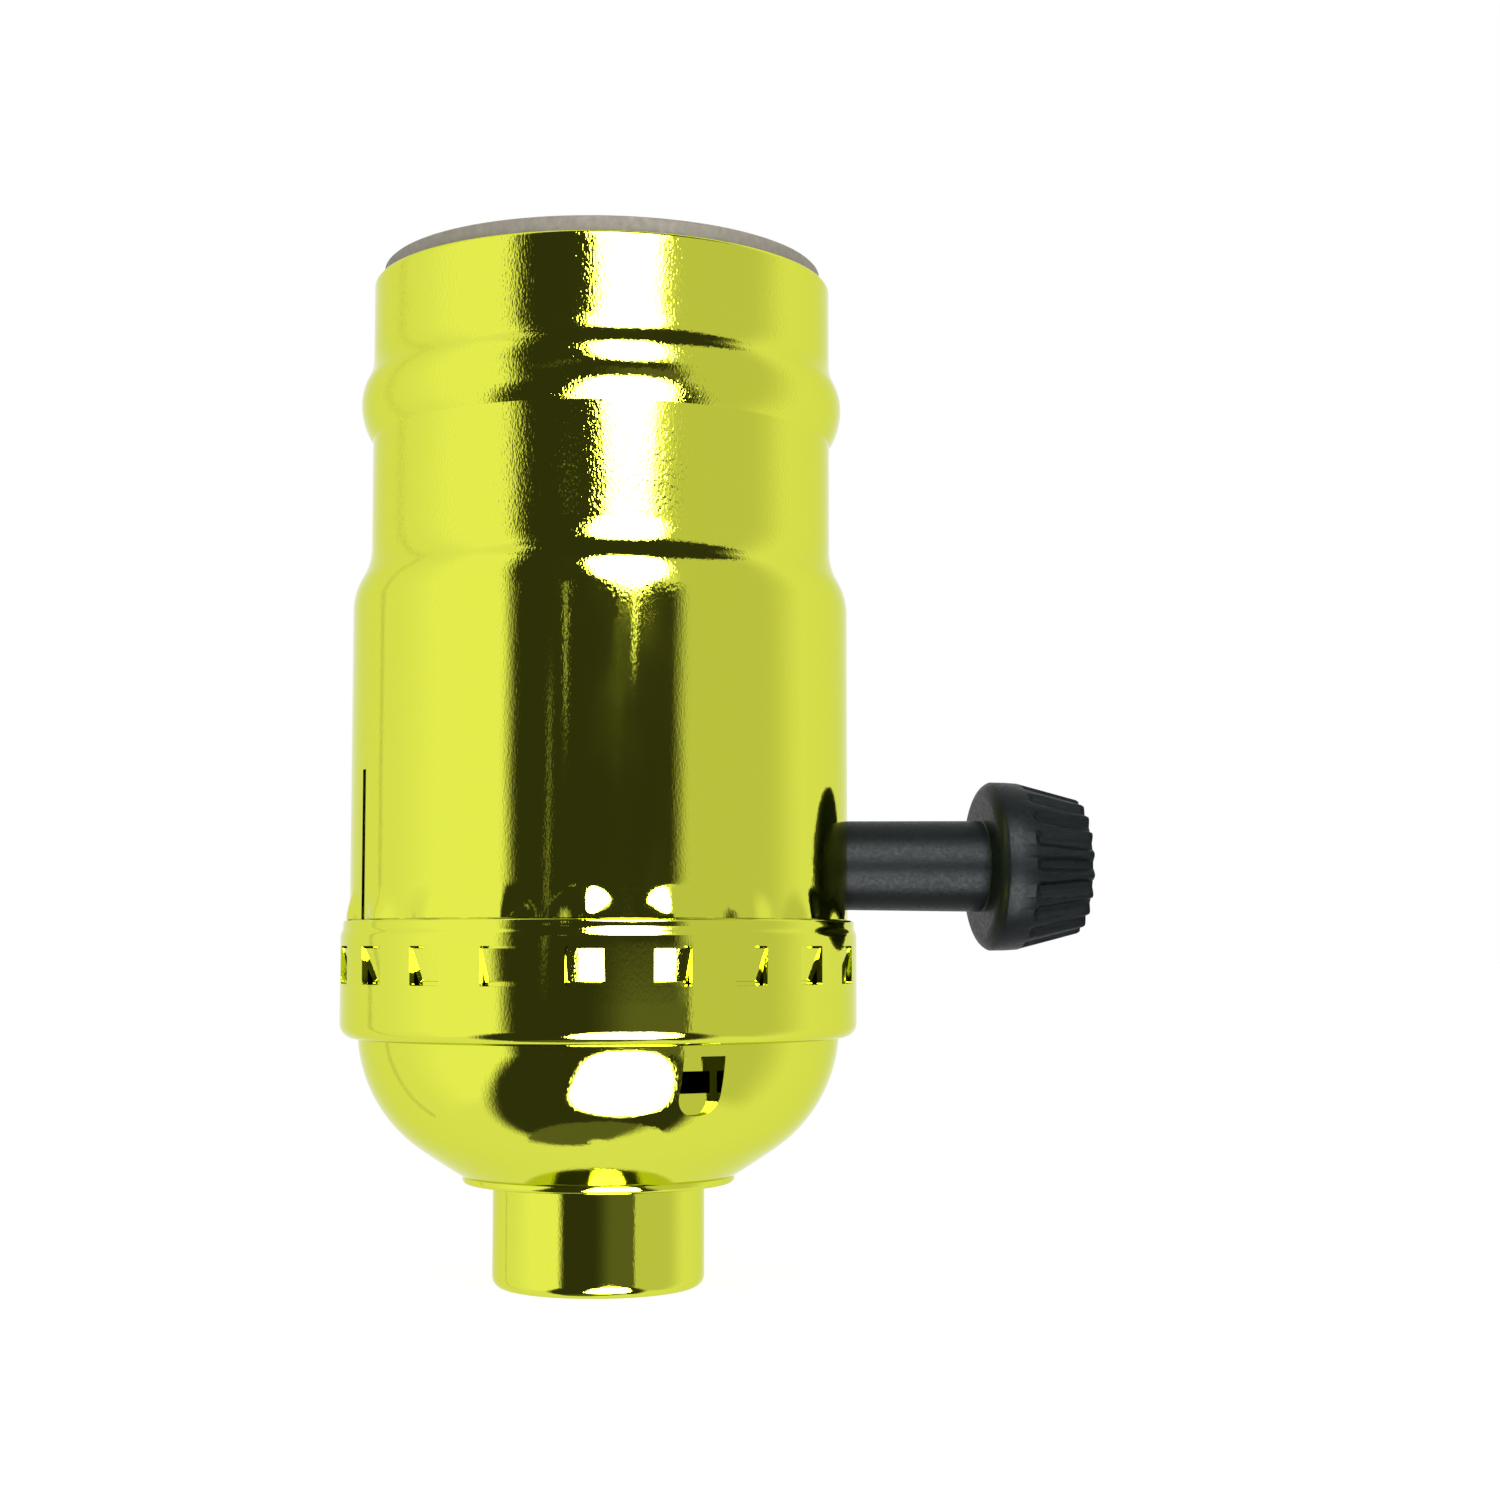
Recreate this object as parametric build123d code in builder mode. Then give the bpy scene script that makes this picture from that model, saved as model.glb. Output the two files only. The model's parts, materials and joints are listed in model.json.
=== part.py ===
"""Medium-base lamp holder with a turn-knob switch.

A drawn brass shell and a drawn brass cap snap together round a moulded
switch housing. The housing carries the screw shell and the centre contact,
and a black knob on its side turns a drum switch inside it.

Millimetres, +Z up. The origin is on the axis, on the neck's bottom face.
The knob's axis points along +X.
"""

from build123d import *
from math import asin, cos, degrees, radians, sin, sqrt
import os

os.makedirs("parts", exist_ok=True)

# Screw shell: drawn aluminium cup for a medium lamp, whose thread sets the holder's size
SCREW_SHELL_R = 13.4
SCREW_SHELL_WALL = 0.4
SCREW_SHELL_HEIGHT = 21.0
SCREW_SHELL_EDGE_R = 0.9
SCREW_SHELL_CUP_STEP = 0.4
SCREW_SHELL_CUP_HEIGHT = 5.4
SCREW_SHELL_FLARE_HEIGHT = 0.8
SCREW_SHELL_HOLE_R = 7.0
SCREW_SHELL_CLEARANCE = 1.22

# Neck: a turned bushing for a 1/8 inch lamp pipe
PIPE_BORE_R = 4.43
PIPE_MOUTH_CHAMFER = 0.5
NECK_WALL = 2.77
NECK_HEIGHT = 7.0
NECK_EDGE_R = 0.8
SPIGOT_WALL = 1.77
STAKED_LIP_WIDTH = 0.7
STAKED_LIP_HEIGHT = 0.6
SET_SCREW_R = 1.6
SET_SCREW_SINK = 0.2
SET_SCREW_TIP_SINK = 0.27
SET_SCREW_HEIGHT = 3.6
SET_SCREW_ANGLE = 84
SCREW_SLOT_WIDTH = 0.7
SET_SCREW_SLOT_DEPTH = 0.6

# Outer shell: drawn brass sleeve with a shoulder, a bead and a curled rim
SHELL_WALL = 0.45
SHOULDER_STEP = 1.35
BEAD_STEP = 0.75
SHELL_LAP = 4.25
BODY_HEIGHT = 24.9
SHOULDER_HEIGHT = 4.4
THROAT_HEIGHT = 8.2
BEAD_LOWER_HEIGHT = 1.7
BEAD_UPPER_HEIGHT = 3.2
MOUTH_HEIGHT = 5.3
RIM_CURL_R = 0.3
SLIT_ANGLES = (-162, 162)
SLIT_WIDTH = 0.65
SLIT_HEIGHT = 13.7
NOTCH_CLEARANCE = 0.5
BUMP_SPHERE_R = 5.5
BUMP_HEIGHT = 0.4
BUMP_CLEARANCE = 0.05
BUMP_LIP_WIDTH = 2.7
BUMP_LIP_HEIGHT = 0.65
TOOTH_WIDTH = 2.2
TOOTH_HEIGHT = 1.9
TOOTH_DROP = 0.15
TOOTH_REACH = 0.5

# Cap: drawn brass cup, a dome under a windowed skirt
CAP_WALL = 0.4
SKIRT_CLEARANCE = 0.2
SKIRT_STEP = 1.2
SKIRT_BOTTOM_Z = 17.1
SKIRT_HEIGHT = 8.05
SKIRT_EDGE_R = 1.0
SKIRT_LIP_EDGE_R = 0.18
DOME_UPPER_ARC_R = 9.9
DOME_LOWER_ARC_R = 50.0
DOME_ARC_JOINT_ANGLE = 55
DOME_CENTRE_RISE = 0.4
FOOT_HEIGHT = 0.5
FOOT_EDGE_R = 0.35
WINDOW_COUNT = 20
WINDOW_WIDTH = 2.5
WINDOW_HEIGHT = 2.3
WINDOW_DROP = 1.75
WINDOW_CORNER_R = 0.25
LUG_ANGLES = (-72, 108)
LUG_WIDTH = 2.9
LUG_HEIGHT = 3.3
LUG_DROP = 0.9
LUG_CORNER_R = 1.3
LUG_DEPTH = 1.5
LUG_SLOT_WIDTH = 2.4
LUG_SLOT_HEIGHT = 1.4
LUG_SLOT_DROP = 1.2

# Liners: vulcanised fibre
LINER_WALL = 0.5
LINER_GAP = 0.08
LINER_SHOULDER_DROP = 0.2
LINER_STAND = 1.1
LINER_SEAT_CLEARANCE = 0.05
LINER_NOTCH_CLEARANCE = 0.25
CAP_INSULATOR_WALL = 0.5
CAP_INSULATOR_GAP = 0.15
CAP_INSULATOR_HEIGHT = 4.4
CAP_INSULATOR_HOLE_CLEARANCE = 0.77

# Shaft, knob and switch rotor
SHAFT_R = 1.6
SHAFT_RUNNING_CLEARANCE = 0.05
SHAFT_TAIL = 3.9
SHAFT_END_CLEARANCE = 0.2
SHAFT_CHAMFER = 0.3
STEM_R_INNER = 3.07
STEM_R_OUTER = 3.2
STEM_LENGTH = 13.0
STEM_END_GAP = 0.2
STEM_LIP_GAP = 0.25
KNOB_BACK_R = 4.9
KNOB_FLANGE_R = 5.93
KNOB_FLANGE_LENGTH = 1.6
KNOB_BAND_LENGTH = 0.9
KNOB_GRIP_R = 5.87
KNOB_GRIP_LENGTH = 4.5
KNOB_END_R = 4.72
KNOB_NECKING = 0.12
KNOB_BORE_SPARE = 0.6
SHAFT_GRIP_GAP = 2.9
RIDGE_COUNT = 20
GROOVE_DEPTH = 0.45
GROOVE_WIDTH = 1.0
GROOVE_ROOT_WIDTH = 0.45
DRUM_R = 4.2
DRUM_LENGTH = 7.5
DRUM_END_GAP = 0.2
DETENT_SQUARE = 7.6
DETENT_LENGTH = 7.2
DETENT_CORNER_R = 1.5
LAND_THICKNESS = 0.5
LAND_HALF_ANGLE = 35
LAND_SETBACK = 1.0
DRIVE_PIN_R = 0.5
DRIVE_PIN_SINK = 0.15
WASHER_THICKNESS = 0.5
WASHER_GAP = 0.1

# Switch housing: two phenolic mouldings that meet on the shaft's axis
HOUSING_CLEARANCE = 0.37
HOUSING_DEPTH = 11.95
HOUSING_RISE = 12.4
HOUSING_EDGE = 0.6
CAVITY_DEPTH = 6.5
CAVITY_RISE = 6.4
CAVITY_SIDE_GAP = 0.45
LOCATING_RIDGE_WIDTH = 0.8
LOCATING_RIDGE_HEIGHT = 0.8
LOCATING_RIDGE_GAP = 0.2
SEAT_DEPTH = 1.9
SEAT_GAP = 0.5

# Contacts, terminals and their fastenings
STRIP = 0.5
STRIP_CLEARANCE = 0.1
LEAF_GAP = 0.05
LEAF_CENTRE_X = 4.0
LEAF_WIDTH = 4.0
LEAF_BEND_R = 0.6
LINE_LEAF_RISE = 3.9
LOAD_LEAF_DROP = 2.1
TERMINAL_POCKET_DEPTH = 5.0
TERMINAL_WIDTH = 8.0
TERMINAL_HEIGHT = 7.9
TERMINAL_STAND = 0.95
TERMINAL_CORNER_R = 0.8
TERMINAL_TAB_DROP = 0.85
POCKET_CLEARANCE = 1.2
RISER_BASE_HEIGHT = 3.0
RISER_WIDTH = 4.4
RISER_CLEARANCE = 0.2
SCREW_STAND = 3.8
SCREW_R = 1.7
SCREW_CLEARANCE = 0.05
SCREW_HEAD_R = 3.3
SCREW_HEAD_HEIGHT = 1.7
SCREW_HEAD_EDGE_R = 0.5
SCREW_LENGTH = 3.6
SCREW_HOLE_SPARE = 0.3
SCREW_SLOT_DEPTH = 0.8
RIVET_R = 1.2
RIVET_WALL_GAP = 0.5
RIVET_HEAD_R = 2.2
RIVET_HEAD_HEIGHT = 0.8
RIVET_TAIL_R = 1.9
RIVET_TAIL_HEIGHT = 0.8
RIVET_TAIL_POCKET_R = 2.4
RIVET_TAIL_POCKET_DEPTH = 1.0
CONTACT_RIVET_HEAD_R = 1.8
CONTACT_RIVET_TAIL_HEIGHT = 0.5
LOAD_PLATE_REACH = 2.4
CONTACT_WIDTH = 5.0
CONTACT_BEND_R = 1.3
CONTACT_FOLD_HEIGHT = 3.0
CONTACT_HEIGHT = 4.8
CONTACT_NOSE_X = 2.6
CONTACT_TIP_X = 4.6
CONTACT_BASE_FRONT = 4.0
CONTACT_BASE_BACK = -5.8
SPRING_THICKNESS = 0.3
SPRING_WIDTH = 5.0
SPRING_END_CLEARANCE = 0.4
SPRING_GAP = 0.03

# Radii, worked out from the screw shell outwards
THROAT_R = SCREW_SHELL_R + SCREW_SHELL_CLEARANCE + LINER_WALL + LINER_GAP + SHELL_WALL
BEAD_R = THROAT_R + BEAD_STEP
SHELL_R = THROAT_R + SHOULDER_STEP
SHELL_INNER_R = SHELL_R - SHELL_WALL
LINER_R = SHELL_INNER_R - LINER_GAP
LINER_THROAT_R = THROAT_R - SHELL_WALL - LINER_GAP
HOUSING_R = LINER_R - LINER_WALL - HOUSING_CLEARANCE
SKIRT_R = SHELL_R + SKIRT_CLEARANCE + CAP_WALL
DOME_R = SKIRT_R - SKIRT_STEP
LUG_FLOOR_R = DOME_R - LUG_DEPTH
NECK_R = PIPE_BORE_R + NECK_WALL
SPIGOT_R = PIPE_BORE_R + SPIGOT_WALL
STAKED_LIP_R = SPIGOT_R + STAKED_LIP_WIDTH
CAP_INSULATOR_HOLE_R = PIPE_BORE_R + CAP_INSULATOR_HOLE_CLEARANCE
SCREW_SHELL_CUP_R = SCREW_SHELL_R - SCREW_SHELL_CUP_STEP
RIVET_CIRCLE_R = SCREW_SHELL_CUP_R - SCREW_SHELL_WALL - RIVET_HEAD_R - RIVET_WALL_GAP
RIVET_OFFSET = RIVET_CIRCLE_R * sin(radians(45))

# Heights, worked out from the neck upwards
FOOT_TOP_Z = NECK_HEIGHT + FOOT_HEIGHT
SPIGOT_TOP_Z = NECK_HEIGHT + CAP_WALL
LIP_TOP_Z = SPIGOT_TOP_Z + STAKED_LIP_HEIGHT
CAP_INSULATOR_TOP_Z = LIP_TOP_Z + CAP_INSULATOR_HEIGHT
SKIRT_TOP_Z = SKIRT_BOTTOM_Z + SKIRT_HEIGHT
DOME_ARC_CENTRE_Z = SKIRT_BOTTOM_Z + DOME_CENTRE_RISE
LUG_HIGH_Z = SKIRT_BOTTOM_Z - LUG_DROP
LUG_SLOT_Z = LUG_HIGH_Z - LUG_SLOT_DROP
WINDOW_HIGH_Z = SKIRT_TOP_Z - WINDOW_DROP
TOOTH_HIGH_Z = WINDOW_HIGH_Z - TOOTH_DROP
SHELL_BOTTOM_Z = SKIRT_TOP_Z - SHELL_LAP
SHOULDER_LOW_Z = SHELL_BOTTOM_Z + BODY_HEIGHT
SHOULDER_HIGH_Z = SHOULDER_LOW_Z + SHOULDER_HEIGHT
BEAD_CREASE_Z = SHOULDER_HIGH_Z + THROAT_HEIGHT
BEAD_PEAK_Z = BEAD_CREASE_Z + BEAD_LOWER_HEIGHT
BEAD_TOP_Z = BEAD_PEAK_Z + BEAD_UPPER_HEIGHT
RIM_Z = BEAD_TOP_Z + MOUTH_HEIGHT
LINER_BOTTOM_Z = SKIRT_BOTTOM_Z + CAP_WALL + LINER_SEAT_CLEARANCE
LINER_TOP_Z = RIM_Z + LINER_STAND
SHAFT_Z = SKIRT_TOP_Z + STEM_LIP_GAP + STEM_R_OUTER
HOUSING_BOTTOM_Z = SHAFT_Z - HOUSING_DEPTH
HOUSING_TOP_Z = SHAFT_Z + HOUSING_RISE
CAVITY_FLOOR_Z = SHAFT_Z - CAVITY_DEPTH
CAVITY_ROOF_Z = SHAFT_Z + CAVITY_RISE
SCREW_SHELL_CUP_Z = HOUSING_TOP_Z + SCREW_SHELL_CUP_HEIGHT
SCREW_SHELL_FLARE_Z = SCREW_SHELL_CUP_Z + SCREW_SHELL_FLARE_HEIGHT
SCREW_SHELL_TOP_Z = HOUSING_TOP_Z + SCREW_SHELL_HEIGHT
TERMINAL_LOW_Z = HOUSING_BOTTOM_Z + TERMINAL_STAND
TERMINAL_HIGH_Z = TERMINAL_LOW_Z + TERMINAL_HEIGHT
TERMINAL_TAB_Z = SHAFT_Z - TERMINAL_TAB_DROP
SCREW_Z = TERMINAL_LOW_Z + SCREW_STAND

# Places along the shaft, from the drum's middle outwards
CAVITY_BACK_X = -DETENT_LENGTH - DRUM_END_GAP
CAVITY_FRONT_X = DRUM_LENGTH + LAND_THICKNESS + WASHER_THICKNESS + WASHER_GAP
CAVITY_HALF_WIDTH = DRUM_R + LEAF_GAP + STRIP + CAVITY_SIDE_GAP
DETENT_CENTRE_X = -DETENT_LENGTH / 2
SEAT_X = HOUSING_R - SEAT_DEPTH
STEM_END_X = SEAT_X + STEM_END_GAP
KNOB_BACK_X = STEM_END_X + STEM_LENGTH
KNOB_FLANGE_X = KNOB_BACK_X + KNOB_FLANGE_LENGTH
KNOB_GRIP_X = KNOB_FLANGE_X + KNOB_BAND_LENGTH
KNOB_END_X = KNOB_GRIP_X + KNOB_GRIP_LENGTH
SHAFT_FRONT_X = KNOB_BACK_X - SHAFT_GRIP_GAP
SHAFT_BACK_X = CAVITY_BACK_X - SHAFT_TAIL
TERMINAL_FACE_Y = HOUSING_R - TERMINAL_POCKET_DEPTH
NOTCH_WIDTH = 2 * (STEM_R_OUTER + NOTCH_CLEARANCE)
LINER_NOTCH_WIDTH = NOTCH_WIDTH + 2 * LINER_NOTCH_CLEARANCE


def polar(radius, angle):
    """The point at a radius and an angle in degrees, in a flat plane."""
    return (radius * cos(radians(angle)), radius * sin(radians(angle)))


def radial_plane(angle, radius, height):
    """A plane that faces outwards at an angle round the main axis, its Y pointing up."""
    x, y = polar(radius, angle)
    return Plane(origin=(x, y, height), x_dir=(*polar(1, angle + 90), 0), z_dir=(*polar(1, angle), 0))


def shaft_section(x):
    """A plane across the shaft, its origin on the shaft's axis, X towards +Y and Y upwards."""
    return Plane(origin=(x, 0, SHAFT_Z), x_dir=(0, 1, 0), z_dir=(1, 0, 0))


def corner(outline, point):
    """The vertex of a sketch that lies at a point."""
    return outline.vertices().sort_by_distance(point)[0]


def ogee(low, high):
    """Two equal tangent arcs that carry an upright outline inwards, from low to high."""
    step = low[0] - high[0]
    rise = high[1] - low[1]
    arc_r = (rise**2 + step**2) / (4 * step)
    lean = asin(rise / 2 / arc_r)
    middle = (low[0] - arc_r + arc_r * cos(lean), low[1] + arc_r * sin(lean))
    first = TangentArc(low, middle, tangent=(0, 1))
    TangentArc(middle, high, tangent=first % 1)


def on_arc(centre, arc_r, height):
    """The outer point of an arc at a height."""
    return (centre[0] + sqrt(arc_r**2 - (height - centre[1]) ** 2), height)


def dome_line(low_z, high_z, inset):
    """The dome's outline between two heights, inset from its outer face."""
    low = on_arc(DOME_LOWER_CENTRE, DOME_LOWER_ARC_R - inset, low_z)
    high = on_arc(DOME_UPPER_CENTRE, DOME_UPPER_ARC_R - inset, high_z)
    joint_x, joint_z = polar(DOME_UPPER_ARC_R - inset, -DOME_ARC_JOINT_ANGLE)
    joint = (DOME_UPPER_CENTRE[0] + joint_x, DOME_UPPER_CENTRE[1] + joint_z)
    upwards = polar(1, 90 - DOME_ARC_JOINT_ANGLE)
    TangentArc(joint, high, tangent=upwards)
    TangentArc(joint, low, tangent=(-upwards[0], -upwards[1]))
    return low, high


def stem_notch(width, low_z):
    """The slot for the knob's stem, arched over it and open at the sleeve's lower edge."""
    with BuildPart() as notch:
        with BuildSketch(Plane.YZ):
            with Locations((0, SHAFT_Z)):
                Circle(width / 2)
                Rectangle(width, SHAFT_Z - low_z, align=(Align.CENTER, Align.MAX))
        extrude(amount=SKIRT_R)
    return notch.part


def terminal_pocket(side, high_x):
    """The pocket that holds a terminal and its screw, open outwards and downwards."""
    low_x = -TERMINAL_WIDTH / 2 - POCKET_CLEARANCE
    with BuildPart() as pocket:
        with BuildSketch(Plane.XY.offset(HOUSING_BOTTOM_Z)):
            with Locations(((low_x + high_x) / 2, side * (TERMINAL_FACE_Y + HOUSING_R / 2))):
                Rectangle(high_x - low_x, HOUSING_R)
        extrude(amount=SHAFT_Z - HOUSING_BOTTOM_Z)
        with BuildSketch(Plane.XZ.offset(-side * TERMINAL_FACE_Y)):
            with Locations((0, SCREW_Z)):
                Circle(SCREW_R + SCREW_CLEARANCE)
        extrude(amount=side * (SCREW_LENGTH + SCREW_HOLE_SPARE - STRIP))
    return pocket.part


def terminal_screw(side):
    """A slotted binding screw whose head lies on the terminal at one side."""
    face = Plane.XZ.offset(-side * (TERMINAL_FACE_Y + STRIP))
    top = Plane.XZ.offset(-side * (TERMINAL_FACE_Y + STRIP + SCREW_HEAD_HEIGHT))
    with BuildPart() as screw:
        with BuildSketch(face):
            with Locations((0, SCREW_Z)):
                Circle(SCREW_HEAD_R)
        extrude(amount=-side * SCREW_HEAD_HEIGHT)
        fillet(screw.edges().group_by(Axis.Y)[-1 if side > 0 else 0], SCREW_HEAD_EDGE_R)
        with BuildSketch(face):
            with Locations((0, SCREW_Z)):
                Circle(SCREW_R)
        extrude(amount=side * SCREW_LENGTH)
        with BuildSketch(top):
            with Locations((0, SCREW_Z)):
                Rectangle(2 * SCREW_HEAD_R, SCREW_SLOT_WIDTH)
        extrude(amount=side * SCREW_SLOT_DEPTH, mode=Mode.SUBTRACT)
    return screw.part


def land_section(outer_r):
    """Two contact lands across the drum, one above the shaft and one below."""
    outer = CenterArc((0, 0), outer_r, 90 - LAND_HALF_ANGLE, 2 * LAND_HALF_ANGLE)
    inner = CenterArc((0, 0), DRUM_R - LAND_THICKNESS, 90 - LAND_HALF_ANGLE, 2 * LAND_HALF_ANGLE)
    Line(outer @ 0, inner @ 0)
    Line(outer @ 1, inner @ 1)


# The dome's outline is two tangent arcs, and the upper one is almost upright at the skirt
DOME_UPPER_CENTRE = (DOME_R - DOME_UPPER_ARC_R, DOME_ARC_CENTRE_Z)
DOME_CENTRE_STEP = polar(DOME_LOWER_ARC_R - DOME_UPPER_ARC_R, 180 - DOME_ARC_JOINT_ANGLE)
DOME_LOWER_CENTRE = (
    DOME_UPPER_CENTRE[0] + DOME_CENTRE_STEP[0],
    DOME_UPPER_CENTRE[1] + DOME_CENTRE_STEP[1],
)


# Cap: its outside is drawn as a solid with the lug pockets in it, then hollowed from the top
WINDOW_PITCH = 360 / WINDOW_COUNT
WINDOW_ANGLES = [WINDOW_PITCH * (index + 0.5) for index in range(WINDOW_COUNT)]

with BuildPart() as window_cutter:
    with BuildSketch(radial_plane(0, SKIRT_R, WINDOW_HIGH_Z - WINDOW_HEIGHT / 2)):
        RectangleRounded(WINDOW_WIDTH, WINDOW_HEIGHT, WINDOW_CORNER_R)
    extrude(amount=2 * CAP_WALL, both=True)

with BuildPart() as lug_pocket:
    with BuildSketch(radial_plane(0, LUG_FLOOR_R, LUG_HIGH_Z - LUG_HEIGHT / 2)):
        RectangleRounded(LUG_WIDTH, LUG_HEIGHT, LUG_CORNER_R)
    extrude(amount=SKIRT_R - LUG_FLOOR_R)

with BuildPart() as lug_slot:
    with BuildSketch(radial_plane(0, LUG_FLOOR_R, LUG_SLOT_Z)):
        Rectangle(LUG_SLOT_WIDTH, LUG_SLOT_HEIGHT)
    extrude(amount=2 * CAP_WALL, both=True)

with BuildPart() as cap:
    with BuildSketch(Plane.XZ) as cap_outline:
        with BuildLine():
            dome_low, dome_high = dome_line(FOOT_TOP_Z, SKIRT_BOTTOM_Z, 0)
            Polyline((0, NECK_HEIGHT), (dome_low[0], NECK_HEIGHT), dome_low)
            Polyline(dome_high, (SKIRT_R, SKIRT_BOTTOM_Z), (SKIRT_R, SKIRT_TOP_Z))
            Polyline((SKIRT_R, SKIRT_TOP_Z), (0, SKIRT_TOP_Z), (0, NECK_HEIGHT))
        make_face()
        fillet(corner(cap_outline, (SKIRT_R, SKIRT_BOTTOM_Z)), SKIRT_EDGE_R)
        fillet(corner(cap_outline, (dome_low[0], NECK_HEIGHT)), FOOT_EDGE_R)
    revolve(axis=Axis.Z)
    add([lug_pocket.part.rotate(Axis.Z, angle) for angle in LUG_ANGLES], mode=Mode.SUBTRACT)
    offset(amount=-CAP_WALL, openings=cap.faces().sort_by(Axis.Z)[-1])
    fillet(cap.edges().group_by(Axis.Z)[-1], SKIRT_LIP_EDGE_R)
    add([window_cutter.part.rotate(Axis.Z, angle) for angle in WINDOW_ANGLES], mode=Mode.SUBTRACT)
    add([lug_slot.part.rotate(Axis.Z, angle) for angle in LUG_ANGLES], mode=Mode.SUBTRACT)
    with Locations((0, 0, NECK_HEIGHT)):
        Cylinder(SPIGOT_R, 4 * CAP_WALL, mode=Mode.SUBTRACT)
cap.part.label = "cap"

# Cap bushing: turned, with a spigot staked over inside the cap
SET_SCREW_OUTER_R = NECK_R - SET_SCREW_SINK

with BuildPart() as cap_bushing:
    with BuildSketch(Plane.XZ) as bushing_outline:
        with BuildLine():
            Polyline(
                (PIPE_BORE_R, 0),
                (NECK_R, 0),
                (NECK_R, NECK_HEIGHT),
                (SPIGOT_R, NECK_HEIGHT),
                (SPIGOT_R, SPIGOT_TOP_Z),
                (STAKED_LIP_R, SPIGOT_TOP_Z),
                (STAKED_LIP_R, LIP_TOP_Z),
                (PIPE_BORE_R, LIP_TOP_Z),
                close=True,
            )
        make_face()
        fillet(corner(bushing_outline, (NECK_R, 0)), NECK_EDGE_R)
        fillet(corner(bushing_outline, (STAKED_LIP_R, LIP_TOP_Z)), STAKED_LIP_HEIGHT / 2)
        chamfer(corner(bushing_outline, (PIPE_BORE_R, 0)), PIPE_MOUTH_CHAMFER)
    revolve(axis=Axis.Z)
    with BuildSketch(radial_plane(SET_SCREW_ANGLE, (PIPE_BORE_R + NECK_R) / 2, SET_SCREW_HEIGHT)):
        Circle(SET_SCREW_R)
    extrude(amount=NECK_R - PIPE_BORE_R, both=True, mode=Mode.SUBTRACT)
cap_bushing.part.label = "cap_bushing"

# Set screw: headless and slotted, on the far side of the neck
with BuildPart() as set_screw:
    with BuildSketch(radial_plane(SET_SCREW_ANGLE, SET_SCREW_OUTER_R, SET_SCREW_HEIGHT)):
        Circle(SET_SCREW_R)
    extrude(amount=PIPE_BORE_R + SET_SCREW_TIP_SINK - SET_SCREW_OUTER_R)
    with BuildSketch(radial_plane(SET_SCREW_ANGLE, SET_SCREW_OUTER_R, SET_SCREW_HEIGHT)):
        Rectangle(2 * SET_SCREW_R, SCREW_SLOT_WIDTH)
    extrude(amount=-SET_SCREW_SLOT_DEPTH, mode=Mode.SUBTRACT)
set_screw.part.label = "set_screw"

# Cap insulator: a fibre dish on the staked lip, following the dome
INSULATOR_INSET = CAP_WALL + CAP_INSULATOR_GAP

with BuildPart() as cap_insulator:
    with BuildSketch(Plane.XZ):
        with BuildLine():
            outer_low, outer_high = dome_line(LIP_TOP_Z, CAP_INSULATOR_TOP_Z, INSULATOR_INSET)
            inner_low, inner_high = dome_line(
                LIP_TOP_Z + CAP_INSULATOR_WALL, CAP_INSULATOR_TOP_Z, INSULATOR_INSET + CAP_INSULATOR_WALL
            )
            Line(outer_high, inner_high)
            Polyline(
                outer_low,
                (CAP_INSULATOR_HOLE_R, outer_low[1]),
                (CAP_INSULATOR_HOLE_R, inner_low[1]),
                inner_low,
            )
        make_face()
    revolve(axis=Axis.Z)
cap_insulator.part.label = "cap_insulator"

# Outer shell: its outside is drawn as a solid and hollowed from both ends
BUMP_Z = SKIRT_TOP_Z + BUMP_CLEARANCE
BUMP_CENTRE_R = SHELL_R + BUMP_HEIGHT - BUMP_SPHERE_R
HOLLOW_SPHERE_R = BUMP_SPHERE_R - SHELL_WALL
NOTCH_ANGLES = (WINDOW_ANGLES[0], WINDOW_ANGLES[-1])
CATCH_ANGLES = [angle for angle in WINDOW_ANGLES if angle not in NOTCH_ANGLES]

with BuildPart() as stop_bump:
    with Locations((BUMP_CENTRE_R, 0, BUMP_Z)):
        Sphere(BUMP_SPHERE_R, arc_size1=0, align=None)
    with BuildSketch(radial_plane(0, BUMP_CENTRE_R, BUMP_Z + BUMP_LIP_HEIGHT / 2)):
        Rectangle(BUMP_LIP_WIDTH, BUMP_LIP_HEIGHT)
    extrude(amount=BUMP_SPHERE_R)
    with Locations((0, 0, BUMP_Z)):
        Cylinder(SHELL_INNER_R, 2 * BUMP_SPHERE_R, mode=Mode.SUBTRACT)

with BuildPart() as bump_hollow:
    with Locations((BUMP_CENTRE_R, 0, BUMP_Z)):
        Sphere(HOLLOW_SPHERE_R, arc_size1=degrees(asin(SHELL_WALL / HOLLOW_SPHERE_R)), align=None)

with BuildPart() as snap_tooth:
    with BuildSketch(Plane.XZ):
        with BuildLine():
            Polyline(
                (SHELL_R - SHELL_WALL / 2, TOOTH_HIGH_Z - TOOTH_HEIGHT),
                (SHELL_R, TOOTH_HIGH_Z - TOOTH_HEIGHT),
                (SHELL_R + TOOTH_REACH, TOOTH_HIGH_Z),
                (SHELL_R - SHELL_WALL / 2, TOOTH_HIGH_Z),
                close=True,
            )
        make_face()
    extrude(amount=TOOTH_WIDTH / 2, both=True)

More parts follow.
